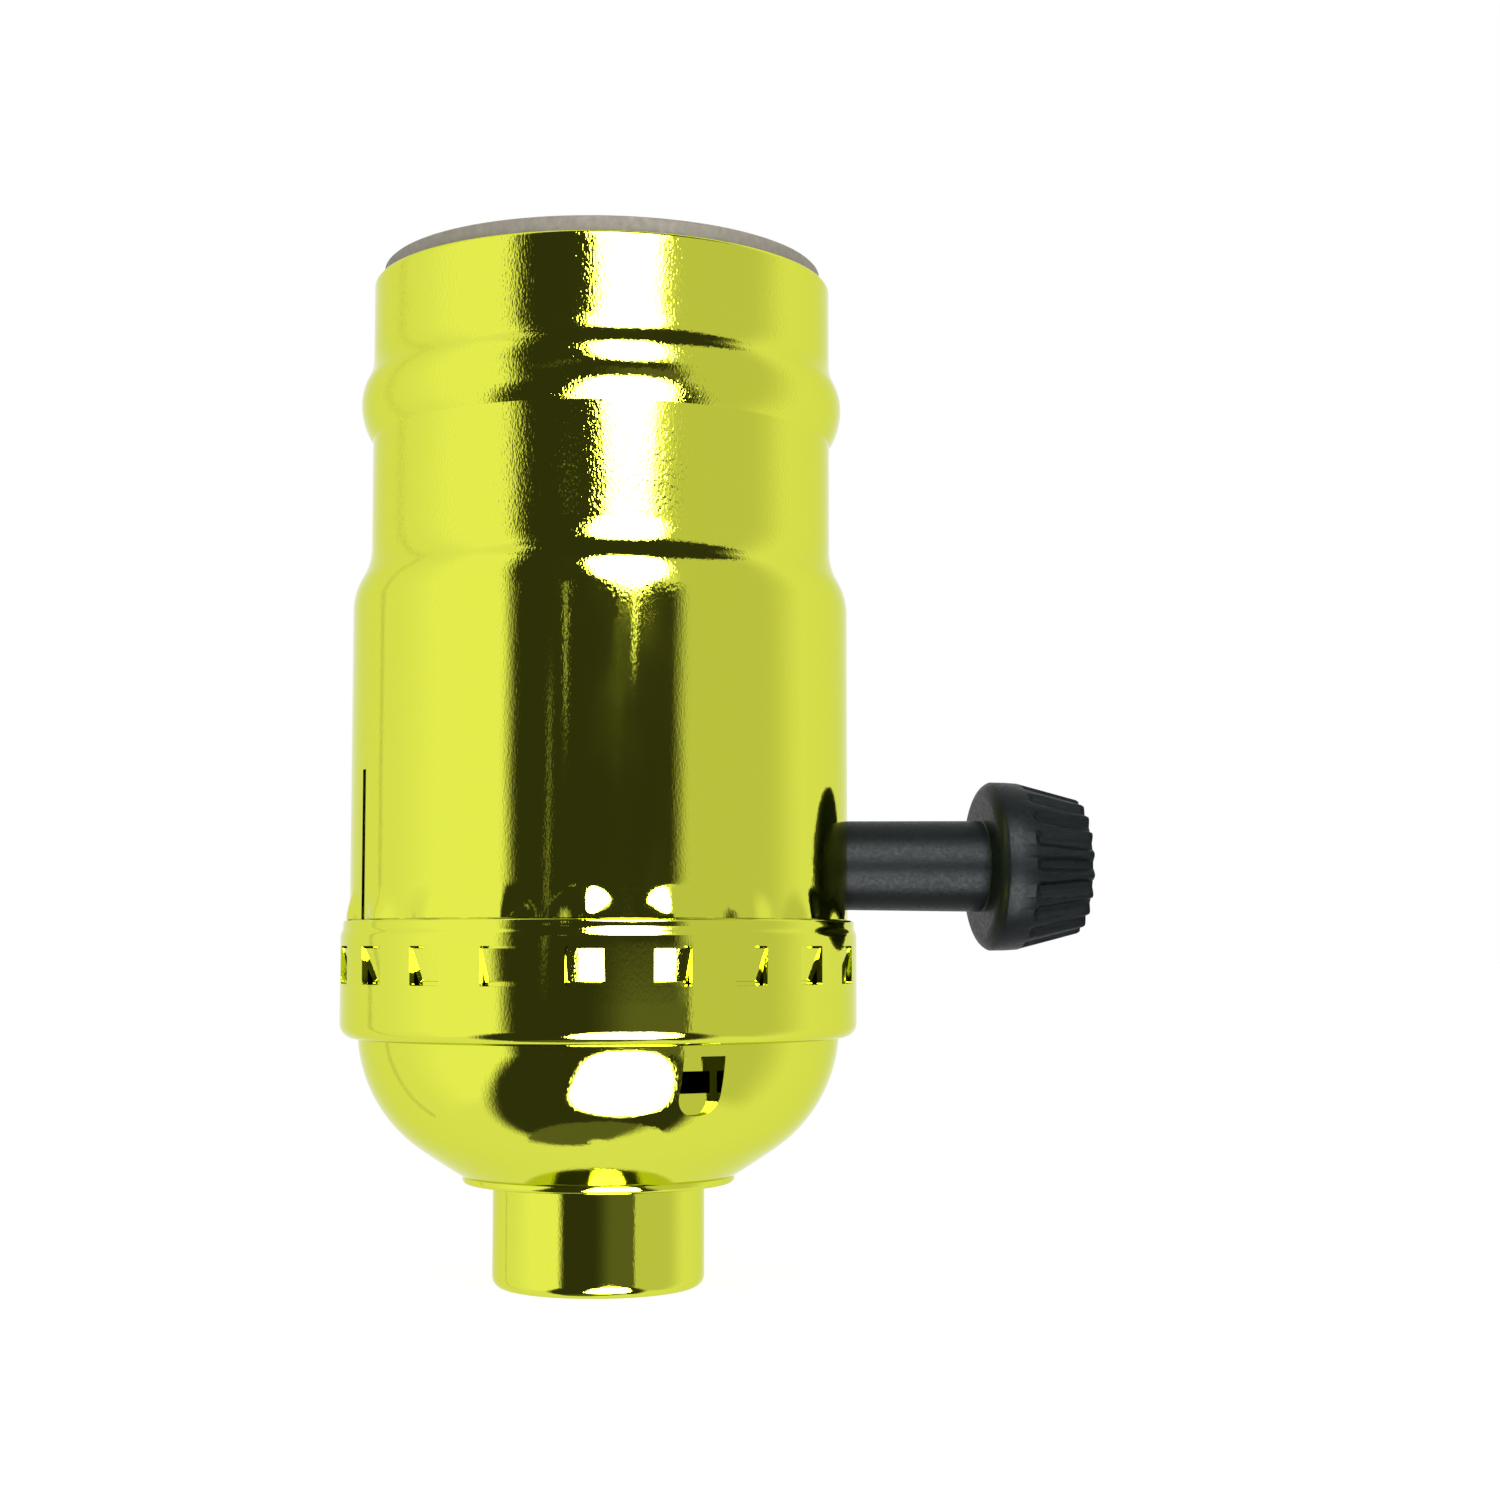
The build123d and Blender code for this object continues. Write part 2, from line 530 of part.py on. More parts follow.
with BuildPart() as outer_shell:
    with BuildSketch(Plane.XZ):
        with BuildLine():
            Polyline((0, SHELL_BOTTOM_Z), (SHELL_R, SHELL_BOTTOM_Z), (SHELL_R, SHOULDER_LOW_Z))
            ogee((SHELL_R, SHOULDER_LOW_Z), (THROAT_R, SHOULDER_HIGH_Z))
            Line((THROAT_R, SHOULDER_HIGH_Z), (THROAT_R, BEAD_CREASE_Z))
            TangentArc((BEAD_R, BEAD_PEAK_Z), (THROAT_R, BEAD_CREASE_Z), tangent=(0, -1))
            ogee((BEAD_R, BEAD_PEAK_Z), (THROAT_R, BEAD_TOP_Z))
            Polyline((THROAT_R, BEAD_TOP_Z), (THROAT_R, RIM_Z), (0, RIM_Z), (0, SHELL_BOTTOM_Z))
        make_face()
    revolve(axis=Axis.Z)
    ends = outer_shell.faces().sort_by(Axis.Z)
    offset(amount=-SHELL_WALL, openings=[ends[0], ends[-1]])
    fillet(outer_shell.edges().group_by(Axis.Z)[-1].sort_by(SortBy.RADIUS)[-1], RIM_CURL_R)
    add([stop_bump.part.rotate(Axis.Z, angle) for angle in CATCH_ANGLES])
    add([snap_tooth.part.rotate(Axis.Z, angle) for angle in CATCH_ANGLES])
    add([bump_hollow.part.rotate(Axis.Z, angle) for angle in CATCH_ANGLES], mode=Mode.SUBTRACT)
    for angle in SLIT_ANGLES:
        with BuildSketch(radial_plane(angle, SHELL_R, SHELL_BOTTOM_Z + SLIT_HEIGHT / 2)):
            Rectangle(SLIT_WIDTH, SLIT_HEIGHT)
        extrude(amount=2 * SHELL_WALL, both=True, mode=Mode.SUBTRACT)
    add(stem_notch(NOTCH_WIDTH, SHELL_BOTTOM_Z), mode=Mode.SUBTRACT)
outer_shell.part.label = "outer_shell"

# Insulating liner: a fibre sleeve that stands on the cap's inner step
LINER_OGEE = (SHOULDER_LOW_Z - LINER_SHOULDER_DROP, SHOULDER_HIGH_Z - LINER_SHOULDER_DROP)

with BuildPart() as insulating_liner:
    with BuildSketch(Plane.XZ):
        with BuildLine():
            Polyline((0, LINER_BOTTOM_Z), (LINER_R, LINER_BOTTOM_Z), (LINER_R, LINER_OGEE[0]))
            ogee((LINER_R, LINER_OGEE[0]), (LINER_THROAT_R, LINER_OGEE[1]))
            Line((LINER_THROAT_R, LINER_OGEE[1]), (LINER_THROAT_R, LINER_TOP_Z))
            Polyline((LINER_THROAT_R, LINER_TOP_Z), (0, LINER_TOP_Z), (0, LINER_BOTTOM_Z))
        make_face()
    revolve(axis=Axis.Z)
    ends = insulating_liner.faces().sort_by(Axis.Z)
    offset(amount=-LINER_WALL, openings=[ends[0], ends[-1]])
    add(stem_notch(LINER_NOTCH_WIDTH, LINER_BOTTOM_Z), mode=Mode.SUBTRACT)
insulating_liner.part.label = "insulating_liner"

# Switch housing: both mouldings are cut by the same cavity, shaft bore, stem seat and rivet holes
RIVET_POINTS = ((RIVET_OFFSET, -RIVET_OFFSET), (-RIVET_OFFSET, RIVET_OFFSET))
SHAFT_BORE_R = SHAFT_R + SHAFT_RUNNING_CLEARANCE
LEAF_LOW_X = LEAF_CENTRE_X - LEAF_WIDTH / 2
RISER_LOW_X = RIVET_OFFSET - RISER_WIDTH / 2

with BuildPart() as mechanism_space:
    with BuildSketch(Plane.XY.offset(CAVITY_FLOOR_Z)):
        with Locations(((CAVITY_BACK_X + CAVITY_FRONT_X) / 2, 0)):
            Rectangle(CAVITY_FRONT_X - CAVITY_BACK_X, 2 * CAVITY_HALF_WIDTH)
    extrude(amount=CAVITY_ROOF_Z - CAVITY_FLOOR_Z)
    with BuildSketch(shaft_section(SHAFT_BACK_X - SHAFT_END_CLEARANCE)):
        Circle(SHAFT_BORE_R)
    extrude(amount=HOUSING_R - SHAFT_BACK_X)
    with BuildSketch(shaft_section(SEAT_X)):
        Circle(STEM_R_INNER + SEAT_GAP)
    extrude(amount=HOUSING_R - SEAT_X)
    with BuildSketch(Plane.XY.offset(HOUSING_BOTTOM_Z)):
        with Locations(*RIVET_POINTS):
            Circle(RIVET_R)
    extrude(amount=HOUSING_TOP_Z - HOUSING_BOTTOM_Z)

with BuildPart() as lower_housing:
    with BuildSketch(Plane.XY.offset(HOUSING_BOTTOM_Z)):
        Circle(HOUSING_R)
    extrude(amount=SHAFT_Z - HOUSING_BOTTOM_Z)
    chamfer(lower_housing.edges().group_by(Axis.Z)[0], HOUSING_EDGE)
    add(mechanism_space.part, mode=Mode.SUBTRACT)
    with BuildSketch(Plane.XY.offset(HOUSING_BOTTOM_Z)):
        with Locations(*RIVET_POINTS):
            Circle(RIVET_TAIL_POCKET_R)
    extrude(amount=RIVET_TAIL_POCKET_DEPTH, mode=Mode.SUBTRACT)
    add(terminal_pocket(1, LEAF_LOW_X + LEAF_WIDTH + RISER_CLEARANCE), mode=Mode.SUBTRACT)
    add(terminal_pocket(-1, RISER_LOW_X + RISER_WIDTH + RISER_CLEARANCE), mode=Mode.SUBTRACT)
    with BuildSketch(Plane.XY.offset(TERMINAL_TAB_Z - STRIP / 2 - RISER_CLEARANCE)):
        with Locations((LEAF_CENTRE_X, TERMINAL_FACE_Y)):
            Rectangle(LEAF_WIDTH + 2 * RISER_CLEARANCE, 2 * TERMINAL_FACE_Y)
    extrude(amount=SHAFT_Z, mode=Mode.SUBTRACT)
lower_housing.part.label = "lower_housing"

with BuildPart() as upper_housing:
    with BuildSketch(Plane.XY.offset(SHAFT_Z)):
        Circle(HOUSING_R)
    extrude(amount=HOUSING_TOP_Z - SHAFT_Z)
    with BuildSketch(Plane.XY.offset(HOUSING_TOP_Z)):
        Circle(SCREW_SHELL_CUP_R + LOCATING_RIDGE_GAP + LOCATING_RIDGE_WIDTH)
        Circle(SCREW_SHELL_CUP_R + LOCATING_RIDGE_GAP, mode=Mode.SUBTRACT)
    extrude(amount=LOCATING_RIDGE_HEIGHT)
    add(mechanism_space.part, mode=Mode.SUBTRACT)
    with BuildSketch(Plane.XY.offset(CAVITY_ROOF_Z)):
        Circle(RIVET_R)
    extrude(amount=HOUSING_TOP_Z - CAVITY_ROOF_Z, mode=Mode.SUBTRACT)
    with BuildSketch(Plane.XY.offset(SHAFT_Z)):
        with Locations((RIVET_OFFSET, -TERMINAL_FACE_Y + RISER_CLEARANCE)):
            Rectangle(RISER_WIDTH + 2 * RISER_CLEARANCE, HOUSING_R, align=(Align.CENTER, Align.MAX))
    extrude(amount=HOUSING_TOP_Z, mode=Mode.SUBTRACT)
    with BuildSketch(Plane.XY.offset(HOUSING_TOP_Z - STRIP - STRIP_CLEARANCE)):
        with Locations((RIVET_OFFSET, -RIVET_OFFSET + RIVET_HEAD_R)):
            Rectangle(RISER_WIDTH + 2 * RISER_CLEARANCE, HOUSING_R, align=(Align.CENTER, Align.MAX))
    extrude(amount=STRIP + STRIP_CLEARANCE, mode=Mode.SUBTRACT)
upper_housing.part.label = "upper_housing"

# Screw shell: drawn aluminium cup on the housing's top, flared out above the centre contact
with BuildPart() as screw_shell:
    with BuildSketch(Plane.XZ) as screw_shell_outline:
        with BuildLine():
            Polyline(
                (0, HOUSING_TOP_Z),
                (SCREW_SHELL_CUP_R, HOUSING_TOP_Z),
                (SCREW_SHELL_CUP_R, SCREW_SHELL_CUP_Z),
                (SCREW_SHELL_R, SCREW_SHELL_FLARE_Z),
                (SCREW_SHELL_R, SCREW_SHELL_TOP_Z),
                (0, SCREW_SHELL_TOP_Z),
                close=True,
            )
        make_face()
        fillet(corner(screw_shell_outline, (SCREW_SHELL_CUP_R, HOUSING_TOP_Z)), SCREW_SHELL_EDGE_R)
    revolve(axis=Axis.Z)
    offset(amount=-SCREW_SHELL_WALL, openings=screw_shell.faces().sort_by(Axis.Z)[-1])
    with BuildSketch(Plane.XY.offset(HOUSING_TOP_Z)):
        Circle(SCREW_SHELL_HOLE_R)
        with Locations(*RIVET_POINTS):
            Circle(RIVET_R)
    extrude(amount=SCREW_SHELL_WALL, mode=Mode.SUBTRACT)
screw_shell.part.label = "screw_shell"

# Housing rivets: two tubular rivets clamp the screw shell and both mouldings
SHELL_FLOOR_Z = HOUSING_TOP_Z + SCREW_SHELL_WALL
RIVET_TAIL_TOP_Z = HOUSING_BOTTOM_Z + RIVET_TAIL_POCKET_DEPTH

with BuildPart() as housing_rivets:
    with BuildSketch(Plane.XY.offset(SHELL_FLOOR_Z)):
        with Locations(*RIVET_POINTS):
            Circle(RIVET_HEAD_R)
    extrude(amount=RIVET_HEAD_HEIGHT)
    fillet(housing_rivets.edges().group_by(Axis.Z)[-1], RIVET_HEAD_HEIGHT / 2)
    with BuildSketch(Plane.XY.offset(SHELL_FLOOR_Z)):
        with Locations(*RIVET_POINTS):
            Circle(RIVET_R)
    extrude(amount=RIVET_TAIL_TOP_Z - SHELL_FLOOR_Z)
    with BuildSketch(Plane.XY.offset(RIVET_TAIL_TOP_Z)):
        with Locations(*RIVET_POINTS):
            Circle(RIVET_TAIL_R)
    extrude(amount=-RIVET_TAIL_HEIGHT)
housing_rivets.part.label = "housing_rivets"

# Line terminal: one brass strip, its plate under the screw and its leaf against the drum
LEAF_Y = DRUM_R + LEAF_GAP + STRIP / 2
PLATE_Y = TERMINAL_FACE_Y + STRIP / 2
PLATE_MIDDLE_Z = TERMINAL_LOW_Z + TERMINAL_HEIGHT / 2

with BuildPart() as line_terminal:
    with BuildSketch(Plane.XZ.offset(-TERMINAL_FACE_Y)):
        with Locations((0, PLATE_MIDDLE_Z)):
            RectangleRounded(TERMINAL_WIDTH, TERMINAL_HEIGHT, TERMINAL_CORNER_R)
        with Locations((LEAF_CENTRE_X, TERMINAL_HIGH_Z)):
            Rectangle(LEAF_WIDTH, RISER_BASE_HEIGHT, align=(Align.CENTER, Align.MAX))
    extrude(amount=-STRIP)
    with BuildSketch(Plane.YZ.offset(LEAF_LOW_X)):
        with BuildLine():
            FilletPolyline(
                (PLATE_Y, TERMINAL_HIGH_Z),
                (PLATE_Y, TERMINAL_TAB_Z),
                (LEAF_Y, TERMINAL_TAB_Z),
                (LEAF_Y, SHAFT_Z + LINE_LEAF_RISE),
                radius=LEAF_BEND_R,
            )
        trace(line_width=STRIP)
    extrude(amount=LEAF_WIDTH)
    with BuildSketch(Plane.XZ.offset(-TERMINAL_FACE_Y)):
        with Locations((0, SCREW_Z)):
            Circle(SCREW_R + SCREW_CLEARANCE)
    extrude(amount=-STRIP, mode=Mode.SUBTRACT)
line_terminal.part.label = "line_terminal"

# Neutral terminal: a plate with a riser that bends in under the screw shell
with BuildPart() as neutral_terminal:
    with BuildSketch(Plane.XZ.offset(TERMINAL_FACE_Y)):
        with Locations((0, PLATE_MIDDLE_Z)):
            RectangleRounded(TERMINAL_WIDTH, TERMINAL_HEIGHT, TERMINAL_CORNER_R)
        with Locations((0, TERMINAL_HIGH_Z)):
            Rectangle(RISER_LOW_X + RISER_WIDTH, RISER_BASE_HEIGHT, align=(Align.MIN, Align.MAX))
    extrude(amount=STRIP)
    with BuildSketch(Plane.YZ.offset(RISER_LOW_X)):
        with BuildLine():
            FilletPolyline(
                (-PLATE_Y, TERMINAL_HIGH_Z),
                (-PLATE_Y, HOUSING_TOP_Z - STRIP / 2),
                (-RIVET_OFFSET + RIVET_HEAD_R, HOUSING_TOP_Z - STRIP / 2),
                radius=LEAF_BEND_R,
            )
        trace(line_width=STRIP)
    extrude(amount=RISER_WIDTH)
    with BuildSketch(Plane.XZ.offset(TERMINAL_FACE_Y)):
        with Locations((0, SCREW_Z)):
            Circle(SCREW_R + SCREW_CLEARANCE)
    extrude(amount=STRIP, mode=Mode.SUBTRACT)
    with BuildSketch(Plane.XY.offset(HOUSING_TOP_Z)):
        with Locations(RIVET_POINTS[0]):
            Circle(RIVET_R)
    extrude(amount=-STRIP, mode=Mode.SUBTRACT)
neutral_terminal.part.label = "neutral_terminal"

# Terminal screws: brass on the line side, nickel-plated on the neutral side
line_screw = terminal_screw(1)
line_screw.label = "line_screw"
neutral_screw = terminal_screw(-1)
neutral_screw.label = "neutral_screw"

# Load contact: the leaf on the drum's other side, riveted under the centre contact
with BuildPart() as load_contact:
    with BuildSketch(Plane.YZ.offset(LEAF_LOW_X)):
        with BuildLine():
            FilletPolyline(
                (-LEAF_Y, SHAFT_Z - LOAD_LEAF_DROP),
                (-LEAF_Y, CAVITY_ROOF_Z - STRIP / 2),
                (LOAD_PLATE_REACH, CAVITY_ROOF_Z - STRIP / 2),
                radius=LEAF_BEND_R,
            )
        trace(line_width=STRIP)
    extrude(amount=LEAF_WIDTH)
    with BuildSketch(Plane.XY.offset(CAVITY_ROOF_Z)):
        with Locations((LEAF_LOW_X, 0)):
            Rectangle(
                LEAF_LOW_X + LOAD_PLATE_REACH,
                2 * LOAD_PLATE_REACH,
                align=(Align.MAX, Align.CENTER),
            )
    extrude(amount=-STRIP)
    with BuildSketch(Plane.XY.offset(CAVITY_ROOF_Z)):
        Circle(RIVET_R)
    extrude(amount=-STRIP, mode=Mode.SUBTRACT)
load_contact.part.label = "load_contact"

# Centre contact: a brass leaf folded back over itself, which the lamp's tip presses down
CONTACT_LINE_Z = HOUSING_TOP_Z + STRIP / 2

with BuildPart() as centre_contact:
    with BuildSketch(Plane.XZ.offset(-CONTACT_WIDTH / 2)):
        with BuildLine():
            FilletPolyline(
                (CONTACT_BASE_FRONT, CONTACT_LINE_Z),
                (CONTACT_BASE_BACK, CONTACT_LINE_Z),
                (CONTACT_BASE_BACK, CONTACT_LINE_Z + CONTACT_FOLD_HEIGHT),
                (CONTACT_NOSE_X, CONTACT_LINE_Z + CONTACT_HEIGHT),
                (CONTACT_TIP_X, CONTACT_LINE_Z + CONTACT_FOLD_HEIGHT),
                radius=CONTACT_BEND_R,
            )
        trace(line_width=STRIP)
    extrude(amount=CONTACT_WIDTH)
    with BuildSketch(Plane.XY.offset(HOUSING_TOP_Z)):
        Circle(RIVET_R)
    extrude(amount=STRIP, mode=Mode.SUBTRACT)
centre_contact.part.label = "centre_contact"

# Contact rivet: joins the centre contact to the load contact through the housing's roof
CONTACT_RIVET_LOW_Z = CAVITY_ROOF_Z - STRIP

with BuildPart() as contact_rivet:
    with BuildSketch(Plane.XY.offset(HOUSING_TOP_Z + STRIP)):
        Circle(CONTACT_RIVET_HEAD_R)
    extrude(amount=RIVET_HEAD_HEIGHT)
    fillet(contact_rivet.edges().group_by(Axis.Z)[-1], RIVET_HEAD_HEIGHT / 2)
    with BuildSketch(Plane.XY.offset(HOUSING_TOP_Z + STRIP)):
        Circle(RIVET_R)
    extrude(amount=CONTACT_RIVET_LOW_Z - HOUSING_TOP_Z - STRIP)
    with BuildSketch(Plane.XY.offset(CONTACT_RIVET_LOW_Z)):
        Circle(CONTACT_RIVET_HEAD_R)
    extrude(amount=-CONTACT_RIVET_TAIL_HEIGHT)
contact_rivet.part.label = "contact_rivet"

# Detent spring: a bowed steel leaf under the drum's square part
SPRING_HALF_SPAN = CAVITY_HALF_WIDTH - SPRING_END_CLEARANCE
SPRING_END_Y = SPRING_THICKNESS - CAVITY_DEPTH
SPRING_TOP_Y = -DETENT_SQUARE / 2 - SPRING_GAP - SPRING_THICKNESS / 2

with BuildPart() as detent_spring:
    with BuildSketch(shaft_section(DETENT_CENTRE_X)):
        with BuildLine():
            ThreePointArc(
                (-SPRING_HALF_SPAN, SPRING_END_Y),
                (0, SPRING_TOP_Y),
                (SPRING_HALF_SPAN, SPRING_END_Y),
            )
        trace(line_width=SPRING_THICKNESS)
    extrude(amount=SPRING_WIDTH / 2, both=True)
detent_spring.part.label = "detent_spring"

# Switch drum: moulded, square where the detent spring bears and round under the contacts
with BuildPart() as switch_drum:
    with BuildSketch(shaft_section(-DETENT_LENGTH)):
        RectangleRounded(DETENT_SQUARE, DETENT_SQUARE, DETENT_CORNER_R)
    extrude(amount=DETENT_LENGTH)
    with BuildSketch(shaft_section(0)):
        Circle(DRUM_R)
    extrude(amount=DRUM_LENGTH)
    with BuildSketch(shaft_section(LAND_SETBACK)):
        with BuildLine():
            land_section(DRUM_R + LAND_THICKNESS)
        make_face()
        mirror(about=Plane.XZ)
    extrude(amount=DRUM_LENGTH - LAND_SETBACK, mode=Mode.SUBTRACT)
    with BuildSketch(shaft_section(-DETENT_LENGTH)):
        Circle(SHAFT_R)
    extrude(amount=DETENT_LENGTH + DRUM_LENGTH, mode=Mode.SUBTRACT)
    with BuildSketch(Plane.XY.offset(SHAFT_Z)):
        with Locations((DETENT_CENTRE_X, 0)):
            Circle(DRIVE_PIN_R)
    extrude(amount=DETENT_SQUARE / 2, both=True, mode=Mode.SUBTRACT)
switch_drum.part.label = "switch_drum"

# Rotor contact: two brass lands in the drum, bridged by a disc on its front end
with BuildPart() as rotor_contact:
    with BuildSketch(shaft_section(LAND_SETBACK)):
        with BuildLine():
            land_section(DRUM_R)
        make_face()
        mirror(about=Plane.XZ)
    extrude(amount=DRUM_LENGTH - LAND_SETBACK)
    with BuildSketch(shaft_section(DRUM_LENGTH)):
        Circle(DRUM_R)
        Circle(SHAFT_R, mode=Mode.SUBTRACT)
    extrude(amount=LAND_THICKNESS)
rotor_contact.part.label = "rotor_contact"

# Thrust washer: fibre, between the rotor contact and the housing's front wall
with BuildPart() as thrust_washer:
    with BuildSketch(shaft_section(DRUM_LENGTH + LAND_THICKNESS)):
        Circle(DRUM_R)
        Circle(SHAFT_R, mode=Mode.SUBTRACT)
    extrude(amount=WASHER_THICKNESS)
thrust_washer.part.label = "thrust_washer"

# Drive pin: keys the drum to the shaft
with BuildPart() as drive_pin:
    with BuildSketch(Plane.XY.offset(SHAFT_Z)):
        with Locations((DETENT_CENTRE_X, 0)):
            Circle(DRIVE_PIN_R)
    extrude(amount=DETENT_SQUARE / 2 - DRIVE_PIN_SINK, both=True)
drive_pin.part.label = "drive_pin"

# Knob shaft: a steel spindle, cross-drilled for the pin
with BuildPart() as knob_shaft:
    with BuildSketch(shaft_section(SHAFT_BACK_X)):
        Circle(SHAFT_R)
    extrude(amount=SHAFT_FRONT_X - SHAFT_BACK_X)
    chamfer(knob_shaft.edges().filter_by(GeomType.CIRCLE), SHAFT_CHAMFER)
    with BuildSketch(Plane.XY.offset(SHAFT_Z)):
        with Locations((DETENT_CENTRE_X, 0)):
            Circle(DRIVE_PIN_R)
    extrude(amount=SHAFT_R, both=True, mode=Mode.SUBTRACT)
knob_shaft.part.label = "knob_shaft"

# Knob: one black moulding, a long stem, a rounded flange and a tapered fluted grip
SHAFT_AXIS = Axis((0, 0, SHAFT_Z), (1, 0, 0))
SHAFT_PROFILE = Plane(origin=(0, 0, SHAFT_Z), x_dir=(1, 0, 0), z_dir=(0, -1, 0))
GRIP_SLANT = sqrt(KNOB_GRIP_LENGTH**2 + (KNOB_GRIP_R - KNOB_END_R) ** 2)
GRIP_COS = KNOB_GRIP_LENGTH / GRIP_SLANT
GRIP_SIN = (KNOB_GRIP_R - KNOB_END_R) / GRIP_SLANT
GROOVE_ANGLES = [360 / RIDGE_COUNT * index for index in range(RIDGE_COUNT)]

with BuildPart() as groove:
    grip_start = Plane(
        origin=(KNOB_GRIP_X + KNOB_NECKING, 0, SHAFT_Z + KNOB_GRIP_R),
        x_dir=(0, 1, 0),
        z_dir=(GRIP_COS, 0, -GRIP_SIN),
    )
    with BuildSketch(grip_start):
        with BuildLine():
            Polyline(
                (-GROOVE_ROOT_WIDTH / 2, -GROOVE_DEPTH),
                (GROOVE_ROOT_WIDTH / 2, -GROOVE_DEPTH),
                (GROOVE_WIDTH, GROOVE_DEPTH),
                (-GROOVE_WIDTH, GROOVE_DEPTH),
                close=True,
            )
        make_face()
    extrude(amount=2 * GRIP_SLANT)

with BuildPart() as knob:
    with BuildSketch(SHAFT_PROFILE):
        with BuildLine():
            Polyline((STEM_END_X, 0), (STEM_END_X, STEM_R_INNER), (KNOB_BACK_X, STEM_R_OUTER))
            Line((KNOB_BACK_X, STEM_R_OUTER), (KNOB_BACK_X, KNOB_BACK_R))
            TangentArc((KNOB_FLANGE_X, KNOB_FLANGE_R), (KNOB_BACK_X, KNOB_BACK_R), tangent=(-1, 0))
            Polyline((KNOB_FLANGE_X, KNOB_FLANGE_R), (KNOB_GRIP_X, KNOB_GRIP_R))
            Polyline((KNOB_GRIP_X, KNOB_GRIP_R), (KNOB_END_X, KNOB_END_R))
            Polyline((KNOB_END_X, KNOB_END_R), (KNOB_END_X, 0), (STEM_END_X, 0))
        make_face()
    revolve(axis=SHAFT_AXIS)
    add([groove.part.rotate(SHAFT_AXIS, angle) for angle in GROOVE_ANGLES], mode=Mode.SUBTRACT)
    with BuildSketch(shaft_section(STEM_END_X)):
        Circle(SHAFT_R)
    extrude(amount=SHAFT_FRONT_X + KNOB_BORE_SPARE - STEM_END_X, mode=Mode.SUBTRACT)
knob.part.label = "knob"

PIECES = [
    cap.part,
    cap_bushing.part,
    set_screw.part,
    cap_insulator.part,
    outer_shell.part,
    insulating_liner.part,
    lower_housing.part,
    upper_housing.part,
    screw_shell.part,
    housing_rivets.part,
    line_terminal.part,
    line_screw,
    neutral_terminal.part,
    neutral_screw,
    load_contact.part,
    centre_contact.part,
    contact_rivet.part,
    detent_spring.part,
    switch_drum.part,
    rotor_contact.part,
    thrust_washer.part,
    drive_pin.part,
    knob_shaft.part,
    knob.part,
]
for piece in PIECES:
    export_step(piece, f"parts/{piece.label}.step")
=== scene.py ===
# %% [markdown]
# # Brass lamp holder with a turn knob
#
# The solids of the holder come in as a fixed frame, in metres, with the holder's axis on Z and the
# knob's shaft along +X. The drawn brass pieces are mirrors, and a mirror shows every flat facet,
# so they are modelled here again with fine meshes. Hidden pieces keep their solids and get a
# material.

# %% Load the frame and keep its box
import json
from math import asin, atan2, copysign, cos, degrees, hypot, pi, radians, sin, sqrt, tan

import bpy
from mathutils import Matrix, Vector


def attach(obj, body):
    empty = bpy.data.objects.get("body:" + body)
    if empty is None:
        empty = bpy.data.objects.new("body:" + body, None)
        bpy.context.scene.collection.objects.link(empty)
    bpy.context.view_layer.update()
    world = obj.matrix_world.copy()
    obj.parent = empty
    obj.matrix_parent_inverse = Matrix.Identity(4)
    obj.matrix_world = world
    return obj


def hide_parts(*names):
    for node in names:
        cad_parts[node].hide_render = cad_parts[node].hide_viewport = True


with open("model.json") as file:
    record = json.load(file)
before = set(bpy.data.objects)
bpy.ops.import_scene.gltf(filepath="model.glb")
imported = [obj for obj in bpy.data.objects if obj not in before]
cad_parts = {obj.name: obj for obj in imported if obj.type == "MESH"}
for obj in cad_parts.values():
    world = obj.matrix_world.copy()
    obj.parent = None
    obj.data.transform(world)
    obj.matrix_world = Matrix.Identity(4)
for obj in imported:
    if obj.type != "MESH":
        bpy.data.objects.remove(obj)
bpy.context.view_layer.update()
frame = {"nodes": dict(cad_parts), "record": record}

# %% [markdown]
# ## Sizes
#
# All sizes are in millimetres, as on a maker's drawing, and one factor turns them into metres.
# They repeat the solids' sizes, so each finer piece lies where its solid lies. Some are fitted
# closer to the picture: the throat is 0.15 mm and the bead 0.2 mm larger in radius here than in
# the solid, the bead's lower flank is 2.5 mm high instead of 1.7 mm, and the skirt with its lip
# and windows, the shell's lower edge, the teeth, the bumps and the lugs lie 0.1 to 0.6 mm lower.
# The windows and teeth are 0.2 mm taller, and the lugs 0.5 mm taller and 0.4 mm deeper. A bare
# height in an outline further down is only a row of the mesh on a straight wall.

# %% Sizes of the holder
MM = 0.001

NECK_R, NECK_TOP, NECK_EDGE_R = 7.2, 7.0, 0.8
PIPE_BORE_R, PIPE_MOUTH = 4.43, 0.5
SPIGOT_R, SPIGOT_TOP, STAKED_LIP_R, STAKED_LIP_TOP = 6.2, 7.4, 6.9, 8.0

CAP_WALL, FOOT_R, FOOT_TOP, FOOT_EDGE_R = 0.4, 9.269, 7.5, 0.35
DOME_R, DOME_UPPER_ARC_R, DOME_LOWER_ARC_R, DOME_JOINT = 16.4, 9.9, 50.0, 55
DOME_ARC_Z = 17.5
SKIRT_R, SKIRT_BOTTOM, SKIRT_TOP, SKIRT_EDGE_R, LIP_EDGE_R = 17.6, 16.8, 24.72, 1.0, 0.18
WINDOW_LOW, WINDOW_HIGH, WINDOW_COUNT, WINDOW_HALF_TURN, WINDOW_CORNER = 20.5, 23.0, 20, 4, 0.22
WINDOW_PITCH = 360 / WINDOW_COUNT
LUG_ANGLES, LUG_WIDTH, LUG_LOW, LUG_HIGH, LUG_FLOOR_R = (-72, 108), 2.9, 12.3, 16.1, 14.5
